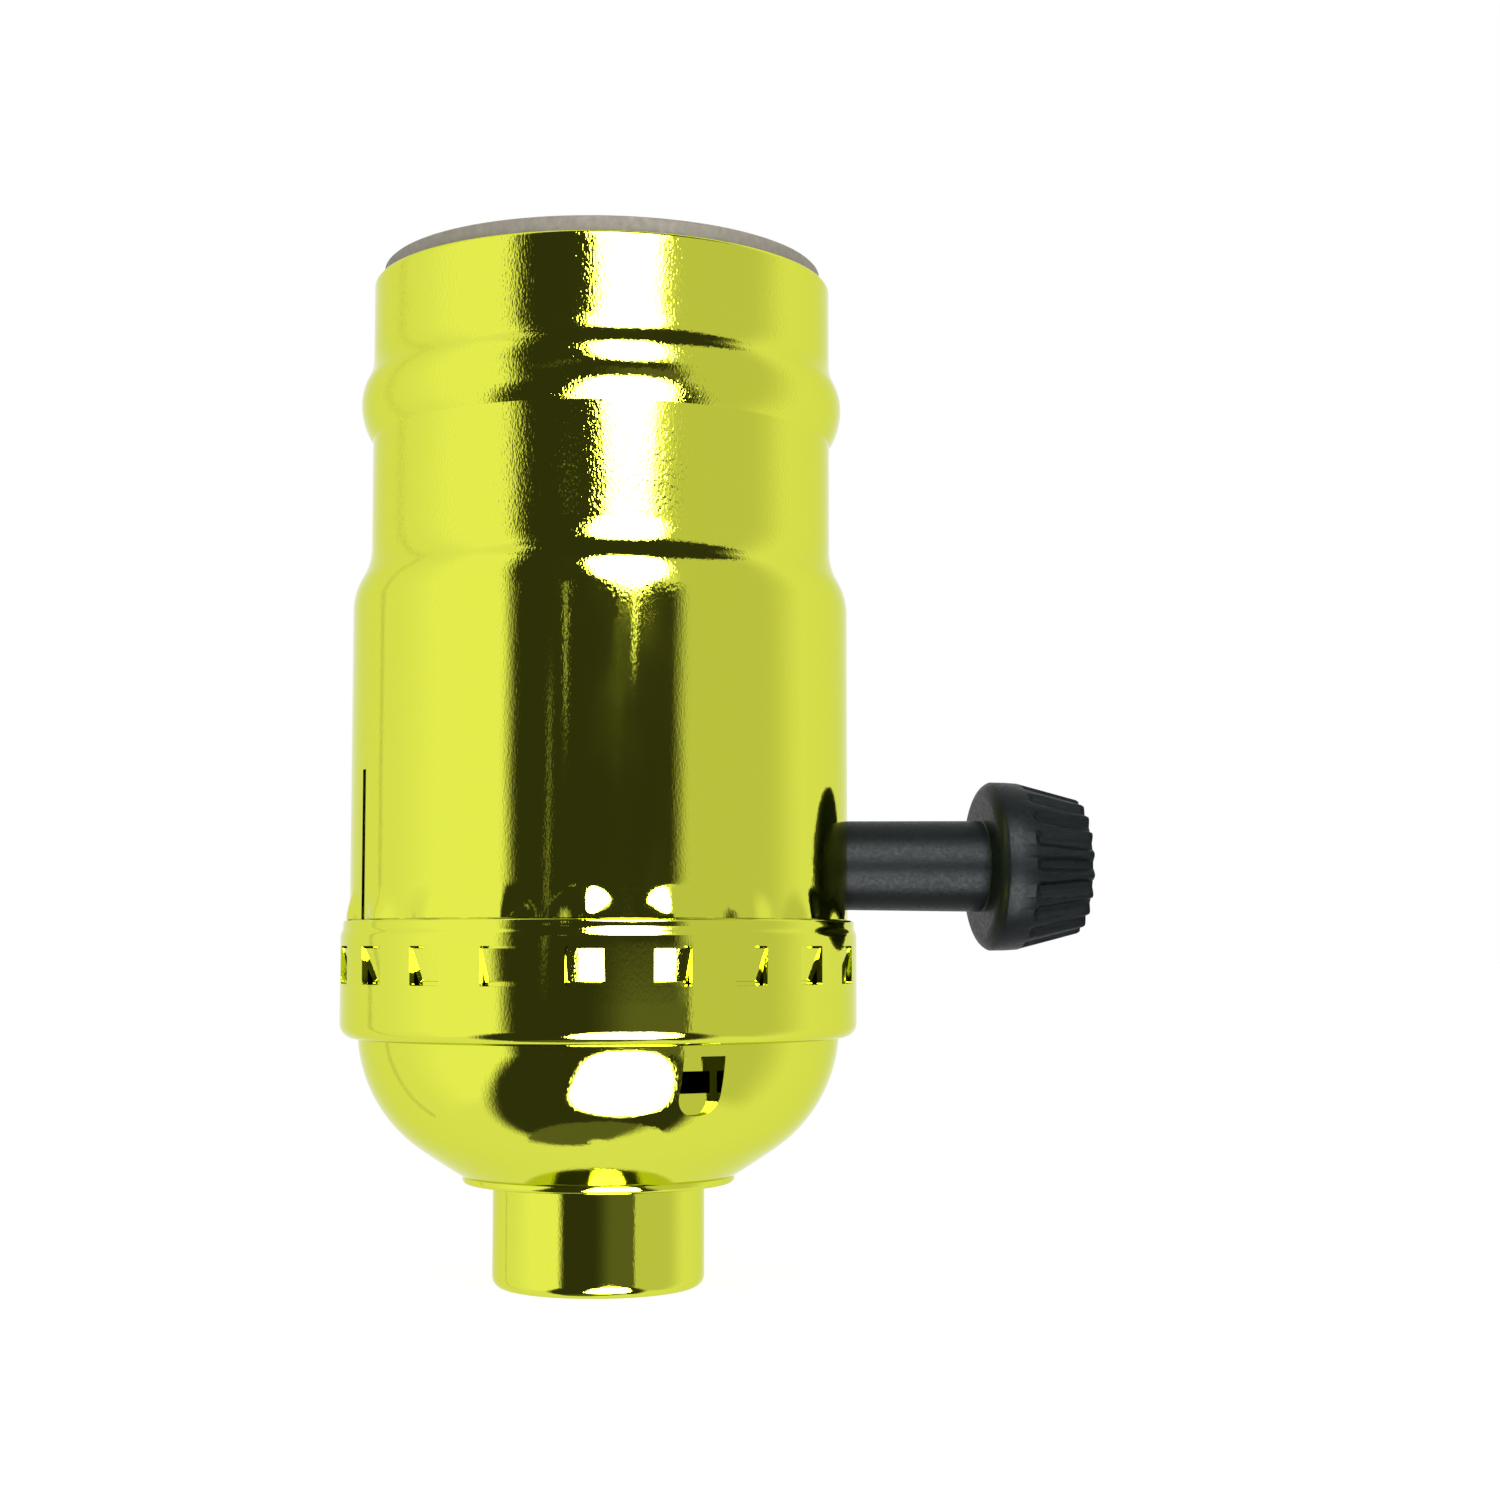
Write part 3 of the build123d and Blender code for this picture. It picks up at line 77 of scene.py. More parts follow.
LUG_CORNER_R, SLOT_WIDTH, SLOT_LOW, SLOT_HIGH, SLOT_CORNER_R = 1.3, 2.4, 13.7, 15.1, 0.1

SHELL_WALL, SHELL_R, THROAT_R, BEAD_R = 0.45, 17.0, 15.8, 16.6
SHELL_LOW, SHOULDER_LOW, SHOULDER_HIGH = 20.3, 45.8, 50.2
BEAD_CREASE, BEAD_PEAK, BEAD_TOP, RIM, RIM_CURL_R = 57.6, 60.1, 63.3, 68.6, 0.3
BUMP_Z, BUMP_HEIGHT = 24.77, 0.4
TOOTH_LOW, TOOTH_HIGH, TOOTH_REACH = 20.75, 22.85, 0.5
SLIT_ANGLE, SLIT_TOP, SLIT_HALF_TURN = 162, 34.6, 1

LINER_WALL, LINER_R, LINER_THROAT_R, LINER_LOW, LINER_TOP = 0.5, 16.47, 15.12, 17.55, 69.7
SHAFT_Z, NOTCH_R, LINER_NOTCH_R = 28.6, 3.7, 3.95

SCREW_CUP_R, SCREW_R, SCREW_WALL = 13.0, 13.4, 0.4
SCREW_LOW, SCREW_CUP_TOP, SCREW_FLARE_TOP, SCREW_TOP = 41.0, 46.4, 47.2, 62.0
print("overall height", LINER_TOP, "mm, skirt", 2 * SKIRT_R, "mm across")

# %% [markdown]
# ## The camera
#
# The holder was photographed from 172 mm, just below its middle, so its lines converge slightly.
# The place and the lens come from a fit of the holder's known circles to the picture.

# %% Camera at the photograph's viewing angle
CAMERA_PLACE, CAMERA_TILT, CAMERA_TURN, CAMERA_LENS = (-17.9, -170.8, 23.0), 4.5, -9.42, 59.76
bpy.ops.object.camera_add(
    location=[c * MM for c in CAMERA_PLACE],
    rotation=(radians(90 + CAMERA_TILT), 0, radians(CAMERA_TURN)),
)
camera = bpy.context.object
camera.name = "camera"
camera.data.sensor_width = 36
camera.data.lens = CAMERA_LENS
camera.data.clip_start = 0.005
bpy.context.scene.camera = camera
bpy.context.scene.view_settings.view_transform = "Standard"
print("lens", camera.data.lens, "mm")

# %% [markdown]
# ## Colours and nodes
#
# A colour is written as the sRGB hex value that a painter would pick, and turned into the linear
# value that the renderer wants. One function adds a node with its settings and links.

# %% Colour and node helpers
def linear(hex_colour):
    """The linear colour of an sRGB hex value."""
    parts = [int(hex_colour[at : at + 2], 16) / 255 for at in (0, 2, 4)]
    return [p / 12.92 if p <= 0.04045 else ((p + 0.055) / 1.055) ** 2.4 for p in parts] + [1]


def add_node(tree, kind, inputs=(), **settings):
    """Adds a node; inputs are values, or outputs of other nodes, by name or number."""
    made = tree.nodes.new(kind)
    for name, value in settings.items():
        setattr(made, name, value)
    for name, value in dict(inputs).items():
        if isinstance(value, bpy.types.NodeSocket):
            tree.links.new(value, made.inputs[name])
        else:
            made.inputs[name].default_value = value
    return made


def new_material(name, **shader):
    """A material with its Principled shader set, and the coordinates of the object in metres."""
    material = bpy.data.materials.new(name)
    material.use_nodes = True
    tree = material.node_tree
    tree.nodes.clear()
    surface = add_node(tree, "ShaderNodeBsdfPrincipled", shader)
    add_node(tree, "ShaderNodeOutputMaterial", {"Surface": surface.outputs[0]})
    place = add_node(tree, "ShaderNodeTexCoord").outputs["Object"]
    return material, tree, surface, place


print("helpers ready, lemon brass is", [round(c, 3) for c in linear("D6DE3E")])

# %% [markdown]
# ## Polished and lacquered brass
#
# The shell, the cap and the neck are brass, drawn and turned, then polished on a wheel and
# lacquered. Polished metal has almost no look of its own: it is a colour for what it mirrors. What
# tells brass from a perfect mirror is the drawing grain, upright streaks a tenth of a millimetre
# wide that break up the edges of reflections, and a faint waviness. The grain is strongest on the
# throat, where the sheet was squeezed the most and its crystals roughened it, which makers call
# orange peel. The lacquer is a clear coat: it adds a little white gloss over the lemon metal,
# which the bare metal can't give. Bump is enough for all this, because the grain is far finer than
# anything that shows in the outline.

# %% Polished brass
def polished_brass(name, colour, tint, grain_slope):
    """Mirror-polished brass: upright grain and faint waves as bump, under a thin lacquer."""
    material, tree, surface, place = new_material(
        name,
        **{"Base Color": linear(colour), "Specular Tint": linear(tint), "Metallic": 1,
           "Coat Weight": 0.4, "Coat Roughness": 0.04},
    )
    # The real grain is about 0.1 mm wide, and drawn slightly coarser so that it shows in a render.
    grain_size, grain_stretch = 0.13 * MM, 0.45
    wave_size, wave_stretch, wave_slope = 2.2 * MM, 0.35, 0.005
    peel_low, peel_high = 44 * MM, 51 * MM
    upright = add_node(tree, "ShaderNodeMapping", {"Vector": place, "Scale": (1, 1, grain_stretch)})
    grain = add_node(
        tree, "ShaderNodeTexNoise",
        {"Vector": upright.outputs[0], "Scale": 1 / grain_size, "Detail": 1},
    )
    height = add_node(tree, "ShaderNodeSeparateXYZ", {0: place}).outputs["Z"]
    peel = add_node(
        tree, "ShaderNodeMapRange",
        {"Value": height, "From Min": peel_low, "From Max": peel_high,
         "To Min": 0.25, "To Max": 1.0},
    )
    stretched = add_node(
        tree, "ShaderNodeMapping", {"Vector": place, "Scale": (1, 1, wave_stretch)}
    )
    waves = add_node(
        tree, "ShaderNodeTexNoise",
        {"Vector": stretched.outputs[0], "Scale": 1 / wave_size, "Detail": 1},
    )
    wavy = add_node(
        tree, "ShaderNodeBump",
        {"Height": waves.outputs[0], "Strength": 1, "Distance": wave_slope * wave_size},
    )
    bumped = add_node(
        tree, "ShaderNodeBump",
        {"Height": grain.outputs[0], "Strength": peel.outputs[0],
         "Distance": grain_slope * grain_size, "Normal": wavy.outputs[0]},
    )
    tree.links.new(bumped.outputs[0], surface.inputs["Normal"])
    rough = add_node(
        tree, "ShaderNodeMapRange",
        {"Value": waves.outputs[0], "From Min": 0.35, "From Max": 0.65,
         "To Min": 0.03, "To Max": 0.06},
    )
    tree.links.new(rough.outputs[0], surface.inputs["Roughness"])
    return material


brass = polished_brass("polished lacquered brass", "D6DE3E", "E4E8A0", 0.09)
print(brass.name)

# %% [markdown]
# ## The other finishes
#
# Fibre, mouldings and plain metals have no pattern to speak of, only two close tones in a fine
# mottle. One function mixes the tones with a noise of a real size, and the same noise makes the
# surface a little rougher and higher in places, so that the highlights aren't even. The black of
# the mouldings is never pure, and the metals keep their default IOR, because their colour sets how
# they mirror.

# %% Other finishes
def plain_finish(name, colour, second, size, low_rough, high_rough, slope, **shader):
    """A finish of two close colours in a fine mottle, with its own roughness and grain."""
    material, tree, surface, place = new_material(name, **shader)
    mottle = add_node(tree, "ShaderNodeTexNoise", {"Vector": place, "Scale": 1 / size, "Detail": 5})
    blend = add_node(
        tree, "ShaderNodeMix", {0: mottle.outputs[0], 6: linear(colour), 7: linear(second)},
        data_type="RGBA",
    )
    rough = add_node(
        tree, "ShaderNodeMapRange",
        {"Value": mottle.outputs[0], "From Min": 0.3, "From Max": 0.7,
         "To Min": low_rough, "To Max": high_rough},
    )
    bumped = add_node(
        tree, "ShaderNodeBump",
        {"Height": mottle.outputs[0], "Strength": 1, "Distance": slope * size},
    )
    tree.links.new(blend.outputs[2], surface.inputs["Base Color"])
    tree.links.new(rough.outputs[0], surface.inputs["Roughness"])
    tree.links.new(bumped.outputs[0], surface.inputs["Normal"])
    return material


# Paper pressed with zinc chloride: matt and grey-brown, with the paper's mottle.
fibre = plain_finish("vulcanised fibre", "8F887B", "6F6A60", 0.5 * MM, 0.65, 0.85, 0.06)
# Hot-pressed resin with wood flour: nearly black, with a dull gloss.
phenolic = plain_finish(
    "moulded phenolic", "171412", "241E1A", 0.4 * MM, 0.3, 0.45, 0.02,
    **{"Specular IOR Level": 0.45},
)
# Injection-moulded in a finely blasted tool: satin black, slightly cool, with little shine.
knob_black = plain_finish(
    "moulded black thermoplastic", "0B1012", "12181A", 0.25 * MM, 0.32, 0.5, 0.05,
    **{"Specular IOR Level": 0.1},
)
# Strip and sheet as they leave the mill, unlacquered: warmer and duller than the polished brass.
contact_brass = plain_finish(
    "rolled contact brass", "C9A95A", "B8954C", 0.3 * MM, 0.25, 0.4, 0.02, Metallic=1
)
# Plated and drawn pieces: bright, with the soft streaky shine of thin plating or of a press tool.
nickel = plain_finish(
    "nickel-plated brass", "C9C6BE", "B9B5AB", 0.3 * MM, 0.15, 0.3, 0.01, Metallic=1
)
aluminium = plain_finish(
    "drawn aluminium", "D8DADC", "C9CBCE", 0.3 * MM, 0.2, 0.35, 0.02, Metallic=1
)
steel = plain_finish("zinc-plated steel", "A9ACAF", "96999D", 0.3 * MM, 0.25, 0.4, 0.02, Metallic=1)
FINISHES = {
    "polished_brass": brass, "contact_brass": contact_brass, "nickel_plate": nickel,
    "aluminium": aluminium, "steel": steel, "fibre": fibre, "phenolic": phenolic,
    "knob_plastic": knob_black,
}
for row in frame["record"]["subparts"]:
    node_object = frame["nodes"][row["node"]]
    node_object.data.materials.clear()
    node_object.data.materials.append(FINISHES[row["material_slot"]])
print("finishes:", ", ".join(FINISHES))

# %% [markdown]
# ## Turning and drawing on a lathe
#
# The brass pieces, the liner, the screw shell and the knob are all round. A round piece is made
# from its outline, drawn as a chain of points and spun about its axis, as a sheet is spun over a
# former. A Solidify modifier then gives the skin its wall, always inwards, so the outside keeps
# its size.

# %% Outlines
def arc(centre, radius, start, end, steps):
    """Points along an arc of an outline, from one angle to another, in degrees."""
    angles = [radians(start + (end - start) * step / steps) for step in range(steps + 1)]
    return [(centre[0] + radius * cos(a), centre[1] + radius * sin(a)) for a in angles]


def ogee(low, high, steps):
    """Two equal tangent arcs that carry an upright outline inwards, from low to high."""
    step, rise = low[0] - high[0], high[1] - low[1]
    radius = (rise**2 + step**2) / (4 * step)
    lean = degrees(asin(rise / 2 / radius))
    first = arc((low[0] - radius, low[1]), radius, 0, lean, steps)
    second = arc((high[0] + radius, high[1]), radius, 180 + lean, 180, steps)
    return first + second[1:]


def level(radius, low, high, count):
    """Points up an upright wall."""
    return [(radius, low + (high - low) * at / count) for at in range(count + 1)]


# %% Lathe
def start_piece(name):
    """One loose point in edit mode, ready to be drawn into an outline."""
    bpy.ops.object.select_all(action="DESELECT")
    bpy.ops.mesh.primitive_plane_add(size=2 * MM)
    piece = bpy.context.object
    piece.name = piece.data.name = name
    bpy.ops.object.mode_set(mode="EDIT")
    bpy.ops.mesh.select_mode(type="VERT")
    bpy.ops.mesh.select_all(action="SELECT")
    bpy.ops.mesh.merge(type="CENTER")
    return piece


def lathe(name, outline, steps, along_x=False):
    """Spins an outline of (radius, height) points about Z, or about the shaft's axis along X."""
    piece = start_piece(name)
    if along_x:
        points = [Vector((h, 0, SHAFT_Z + r)) * MM for r, h in outline]
    else:
        points = [Vector((r, 0, h)) * MM for r, h in outline]
    bpy.ops.transform.translate(value=points[0])
    for before, after in zip(points, points[1:]):
        bpy.ops.mesh.extrude_region_move(TRANSFORM_OT_translate={"value": after - before})
    bpy.ops.mesh.select_all(action="SELECT")
    centre, axis = ((0, 0, SHAFT_Z * MM), (1, 0, 0)) if along_x else ((0, 0, 0), (0, 0, 1))
    bpy.ops.mesh.spin(steps=steps, angle=2 * pi, center=centre, axis=axis)
    bpy.ops.mesh.select_all(action="SELECT")
    bpy.ops.mesh.remove_doubles(threshold=0.001 * MM)
    bpy.ops.mesh.normals_make_consistent(inside=False)
    bpy.ops.object.mode_set(mode="OBJECT")
    return piece


def facing_out(piece, along_x=False):
    """Turns a skin's faces outwards, away from its axis."""
    total = 0
    for face in piece.data.polygons:
        middle = face.center - Vector((0, 0, SHAFT_Z * MM)) if along_x else face.center
        away = Vector((0, middle.y, middle.z)) if along_x else Vector((middle.x, middle.y, 0))
        total += face.normal.dot(away) * face.area
    if total < 0:
        bpy.ops.object.mode_set(mode="EDIT")
        bpy.ops.mesh.select_all(action="SELECT")
        bpy.ops.mesh.flip_normals()
        bpy.ops.object.mode_set(mode="OBJECT")


# %% Walls and cuts
def apply(piece, kind, **settings):
    """Adds a modifier with its settings and applies it."""
    bpy.context.view_layer.objects.active = piece
    modifier = piece.modifiers.new(kind.title(), kind)
    for name, value in settings.items():
        setattr(modifier, name, value)
    bpy.ops.object.modifier_apply(modifier=modifier.name)


def give_wall(piece, wall):
    """A wall of even thickness, on the inside of the skin."""
    apply(piece, "SOLIDIFY", thickness=wall * MM, offset=-1, use_even_offset=True)


def punch_out(piece, punch):
    """Takes the shape of a closed punch out of a piece, and uses the punch up."""
    apply(piece, "BOOLEAN", operation="DIFFERENCE", solver="EXACT", object=punch)
    bpy.data.objects.remove(punch)
    print(piece.name, "faces after the cut", len(piece.data.polygons))


# %% Choosing faces and points by their place
def select_faces(piece, wanted):
    """Selects the faces whose middle the test wants, in edit mode, and counts them."""
    bpy.ops.object.mode_set(mode="EDIT")
    bpy.ops.mesh.select_mode(type="FACE")
    bpy.ops.mesh.select_all(action="DESELECT")
    bpy.ops.object.mode_set(mode="OBJECT")
    count = 0
    for face in piece.data.polygons:
        x, y, z = face.center / MM
        face.select = wanted(degrees(atan2(y, x)), hypot(x, y), z)
        count += face.select
    bpy.ops.object.mode_set(mode="EDIT")
    return count


def select_points(piece, wanted):
    """Selects the points that the test wants, in edit mode, and counts them."""
    bpy.ops.object.mode_set(mode="EDIT")
    bpy.ops.mesh.select_mode(type="VERT")
    bpy.ops.mesh.select_all(action="DESELECT")
    bpy.ops.object.mode_set(mode="OBJECT")
    count = 0
    for point in piece.data.vertices:
        x, y, z = point.co / MM
        point.select = wanted(degrees(atan2(y, x)), hypot(x, y), z)
        count += point.select
    bpy.ops.object.mode_set(mode="EDIT")
    return count


def turn_between(angle, other):
    """The smallest turn between two angles in degrees."""
    return abs((angle - other + 180) % 360 - 180)


# %% Finishing a piece
def finish_piece(piece, material, slot, body, *nodes, smooth=35):
    """Shades a piece, gives it its material and puts it in its node's place."""
    bpy.ops.object.mode_set(mode="OBJECT")
    bpy.ops.object.select_all(action="DESELECT")
    piece.select_set(True)
    bpy.context.view_layer.objects.active = piece
    bpy.ops.object.shade_smooth_by_angle(angle=radians(smooth))
    piece.data.materials.clear()
    piece.data.materials.append(material)
    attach(piece, body)
    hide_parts(*nodes)
    print(piece.name, len(piece.data.polygons), "faces")


# %% [markdown]
# ## Outer shell
#
# The shell is one cup of sheet brass, drawn deep, necked in at a shoulder, beaded and curled at
# its rim. Its outline is spun in 360 steps, one for each degree. Low on the wall 18 places carry a
# pressed bump, which the cap's lip butts against, and a bent tooth, which snaps into a window of
# the cap. The two places beside the knob's stem have neither.

# %% Outer shell: the skin
CATCH_ANGLES = [WINDOW_PITCH * (k + 0.5) for k in range(1, WINDOW_COUNT - 1)]
LEDGE, FINE_BAND, FINE_ROWS = 0.02, 3.2, 16
shell_outline = (
    [(SHELL_R, SHELL_LOW), (SHELL_R, TOOTH_LOW), (SHELL_R, TOOTH_HIGH), (SHELL_R, BUMP_Z - LEDGE)]
    + level(SHELL_R, BUMP_Z, BUMP_Z + FINE_BAND, FINE_ROWS)
    + [(SHELL_R, SLIT_TOP), (SHELL_R, 39), (SHELL_R, 44.8)]
    + ogee((SHELL_R, SHOULDER_LOW), (THROAT_R, SHOULDER_HIGH), 10)
    + [(THROAT_R, 52), (THROAT_R, 57.2)]
)
bead_rise = BEAD_PEAK - BEAD_CREASE
bead_step = BEAD_R - THROAT_R
bead_arc_r = (bead_rise**2 + bead_step**2) / (2 * bead_step)
bead_lean = degrees(asin(bead_rise / bead_arc_r))
shell_outline += arc((BEAD_R - bead_arc_r, BEAD_PEAK), bead_arc_r, -bead_lean, 0, 8)
shell_outline += ogee((BEAD_R, BEAD_PEAK), (THROAT_R, BEAD_TOP), 8)[1:]
shell_outline += [(THROAT_R, 64), (THROAT_R, 68)]
shell_outline += arc((THROAT_R - RIM_CURL_R, RIM - RIM_CURL_R), RIM_CURL_R, 0, 90, 8)
outer_shell = lathe("drawn_shell", shell_outline, 360)
facing_out(outer_shell)
print("skin rows", len(shell_outline), "faces", len(outer_shell.data.polygons))

# %% [markdown]
# The teeth are lanced and bent: the faces of a tooth are extruded in place, and the upper edge of
# each is then pulled out by half a millimetre, which leaves a wedge with closed sides. The bumps
# are pressed from inside. Proportional editing moves a point and its neighbours less and less with
# their distance, which is what pressing does to a sheet. The faces below are hidden, so they stay.

# %% Outer shell: teeth
TOOTH_HALF_TURN = 4
for at in CATCH_ANGLES:
    select_faces(
        outer_shell,
        lambda a, r, z: TOOTH_LOW < z < TOOTH_HIGH and turn_between(a, at) < TOOTH_HALF_TURN,
    )
    outwards = Vector((cos(radians(at)), sin(radians(at)), 0)) * MM
    bpy.ops.mesh.extrude_region_move(TRANSFORM_OT_translate={"value": (0, 0, 0)})
    bpy.ops.mesh.select_mode(type="VERT")
    bpy.ops.object.mode_set(mode="OBJECT")
    # Only the tooth's upper points move out, and the lower ones stay in the wall.
    upper = [
        p.index for p in outer_shell.data.vertices if p.select and p.co.z > (TOOTH_HIGH - 0.01) * MM
    ]
    bpy.ops.object.mode_set(mode="EDIT")
    bpy.ops.mesh.select_all(action="DESELECT")
    bpy.ops.object.mode_set(mode="OBJECT")
    for index in upper:
        outer_shell.data.vertices[index].select = True
    bpy.ops.object.mode_set(mode="EDIT")
    bpy.ops.transform.translate(value=outwards * TOOTH_REACH)
bpy.ops.mesh.select_all(action="SELECT")
bpy.ops.mesh.remove_doubles(threshold=0.001 * MM)
tooth_points = [p.co / MM for p in outer_shell.data.vertices]
tooth_reach = max(hypot(x, y) for x, y, z in tooth_points if abs(z - TOOTH_HIGH) < 0.01)
print("teeth", len(CATCH_ANGLES), "reach", round(tooth_reach, 2), "mm from the axis")

# %% Outer shell: bumps
PRESSED_R = 2.3
select_points(outer_shell, lambda a, r, z: z < BUMP_Z - LEDGE / 2)
bpy.ops.mesh.hide(unselected=False)
for at in CATCH_ANGLES:
    bpy.ops.mesh.select_all(action="DESELECT")
    bpy.ops.object.mode_set(mode="OBJECT")
    spot = Vector((SHELL_R * cos(radians(at)), SHELL_R * sin(radians(at)), BUMP_Z)) * MM
    nearest = min(
        (p for p in outer_shell.data.vertices if not p.hide), key=lambda p: (p.co - spot).length
    )
    nearest.select = True
    bpy.ops.object.mode_set(mode="EDIT")
    outwards = Vector((cos(radians(at)), sin(radians(at)), 0)) * MM
    bpy.ops.transform.translate(
        value=outwards * BUMP_HEIGHT, use_proportional_edit=True,
        proportional_edit_falloff="SMOOTH", proportional_size=PRESSED_R * MM,
    )
bpy.ops.mesh.reveal(select=False)
bpy.ops.object.mode_set(mode="OBJECT")
reach = max(hypot(p.co.x, p.co.y) for p in outer_shell.data.vertices if p.co.z > BUMP_Z * MM)
print("bumps reach", round(reach / MM, 2), "mm from the axis")

# %% [markdown]
# The stem's notch is punched through the wall, arched over the shaft. Its punch is a cylinder
# along the shaft, cut at its middle by bisect and drawn down from there, and a Boolean takes it
# out of the shell. The two slits on the side away from the knob let the sleeve spring inwards when
# the cap goes on. One of them shows at the left edge of the picture.

# %% Outer shell: wall, notch and slits
PUNCH_LENGTH = 10


def notch_punch(radius, low):
    """A punch along +X, round above the shaft and straight below it."""
    bpy.ops.object.select_all(action="DESELECT")
    bpy.ops.mesh.primitive_cylinder_add(
        vertices=96, radius=radius * MM, depth=PUNCH_LENGTH * MM,
        location=(SHELL_R * MM, 0, SHAFT_Z * MM), rotation=(0, radians(90), 0),
    )
    punch = bpy.context.object
    bpy.ops.object.transform_apply(location=True, rotation=True, scale=True)
    bpy.ops.object.mode_set(mode="EDIT")
    bpy.ops.mesh.select_all(action="SELECT")
    bpy.ops.mesh.bisect(
        plane_co=(0, 0, SHAFT_Z * MM), plane_no=(0, 0, -1), use_fill=True, clear_outer=True
    )
    bpy.ops.mesh.extrude_region_move(
        TRANSFORM_OT_translate={"value": (0, 0, (low - SHAFT_Z) * MM)}
    )
    bpy.ops.object.mode_set(mode="OBJECT")
    return punch


slit_faces = select_faces(
    outer_shell,
    lambda a, r, z: z < SLIT_TOP and turn_between(abs(a), SLIT_ANGLE) < SLIT_HALF_TURN,
)
bpy.ops.mesh.delete(type="FACE")
bpy.ops.object.mode_set(mode="OBJECT")
print("slit faces taken out", slit_faces)
give_wall(outer_shell, SHELL_WALL)
punch_out(outer_shell, notch_punch(NOTCH_R, SHELL_LOW - 1))
finish_piece(outer_shell, brass, "polished_brass", "holder", "outer_shell", smooth=12)

# %% [markdown]
# ## Cap
#
# The cap is drawn from sheet too: a dome of two arcs that run into each other, a rounded step, and
# an upright skirt, whose lip steps in a little at the top. Its 20 windows are punched, so their
# edges are square. Each window takes the faces of eight degrees, and its corners are eased by a
# vertex bevel.

# %% Cap: the skin
LIP_STEP, LIP_STEP_LOW, LIP_STEP_HIGH = 0.17, SKIRT_TOP - 1.12, SKIRT_TOP - 0.42
LIP_R = SKIRT_R - LIP_STEP
joint = radians(-DOME_JOINT)
upper_centre = (DOME_R - DOME_UPPER_ARC_R, DOME_ARC_Z)
centre_step = DOME_LOWER_ARC_R - DOME_UPPER_ARC_R
lower_centre = (
    upper_centre[0] - centre_step * cos(joint), upper_centre[1] - centre_step * sin(joint)
)
foot_angle = degrees(asin((FOOT_TOP - lower_centre[1]) / DOME_LOWER_ARC_R))
shelf_angle = degrees(asin((SKIRT_BOTTOM - DOME_ARC_Z) / DOME_UPPER_ARC_R))
lower_arc = arc(lower_centre, DOME_LOWER_ARC_R, foot_angle, -DOME_JOINT, 10)
upper_arc = arc(upper_centre, DOME_UPPER_ARC_R, -DOME_JOINT, shelf_angle, 36)
cap_outline = (
    [(SPIGOT_R, NECK_TOP), (FOOT_R - FOOT_EDGE_R, NECK_TOP)]
    + arc((FOOT_R - FOOT_EDGE_R, NECK_TOP + FOOT_EDGE_R), FOOT_EDGE_R, -60, -15, 3)
    + lower_arc
    + upper_arc[1:]
    + arc((SKIRT_R - SKIRT_EDGE_R, SKIRT_BOTTOM + SKIRT_EDGE_R), SKIRT_EDGE_R, -90, 0, 10)
    + [(SKIRT_R, 19.6), (SKIRT_R, WINDOW_LOW), (SKIRT_R, WINDOW_HIGH)]
    + ogee((SKIRT_R, LIP_STEP_LOW), (LIP_R, LIP_STEP_HIGH), 6)
    + arc((LIP_R - LIP_EDGE_R, SKIRT_TOP - LIP_EDGE_R), LIP_EDGE_R, 0, 90, 4)
)
cap = lathe("drawn_cap", cap_outline, 360)
facing_out(cap)
print("skin faces", len(cap.data.polygons))

# %% Cap: windows
gone = select_faces(
    cap,
    lambda a, r, z: WINDOW_LOW < z < WINDOW_HIGH
    and turn_between(a % WINDOW_PITCH, WINDOW_PITCH / 2) < WINDOW_HALF_TURN,
)
bpy.ops.mesh.delete(type="FACE")
corners = select_points(
    cap,
    lambda a, r, z: min(abs(z - WINDOW_LOW), abs(z - WINDOW_HIGH)) < 0.01
    and abs(turn_between(a % WINDOW_PITCH, WINDOW_PITCH / 2) - WINDOW_HALF_TURN) < 0.1,
)
bpy.ops.mesh.bevel(affect="VERTICES", offset=WINDOW_CORNER * MM, segments=3, offset_type="WIDTH")
print("window faces taken out", gone, "corners eased", corners)

# %% [markdown]
# Two lugs are punched into the dome. Each is a pocket with a flat floor and a slot through it. The
# pocket's opening is punched out of the dome, and the sheet that was pushed in there is a small
# cup behind it: a block as deep as the dome allows, hollowed by the same punch and slotted. Both
# openings are punched before the cups are joined to the cap, because a punch that meets a cup
# inside the wall can drop it.

# %% Cap: the shape of a lug
def lug_block(half_width, low, high, corner, near, far, turn):
    """A block along the radius with rounded lower corners, from near to far off the axis."""
    outline = (
        [(-half_width, high)]
        + arc((corner - half_width, low + corner), corner, 180, 270, 8)
        + arc((half_width - corner, low + corner), corner, 270, 360, 8)
        + [(half_width, high)]
    )
    out = Vector((cos(radians(turn)), sin(radians(turn)), 0))
    side = Vector((-out.y, out.x, 0))
    points = [(out * near + side * u + Vector((0, 0, z))) * MM for u, z in outline]
    block = start_piece("lug_block")
    bpy.ops.transform.translate(value=points[0])
    for before, after in zip(points, points[1:]):
        bpy.ops.mesh.extrude_region_move(TRANSFORM_OT_translate={"value": after - before})
    bpy.ops.mesh.select_all(action="SELECT")
    bpy.ops.mesh.edge_face_add()
    bpy.ops.mesh.extrude_region_move(TRANSFORM_OT_translate={"value": out * (far - near) * MM})
    bpy.ops.mesh.select_all(action="SELECT")
    bpy.ops.mesh.normals_make_consistent(inside=False)
    bpy.ops.object.mode_set(mode="OBJECT")
    return block


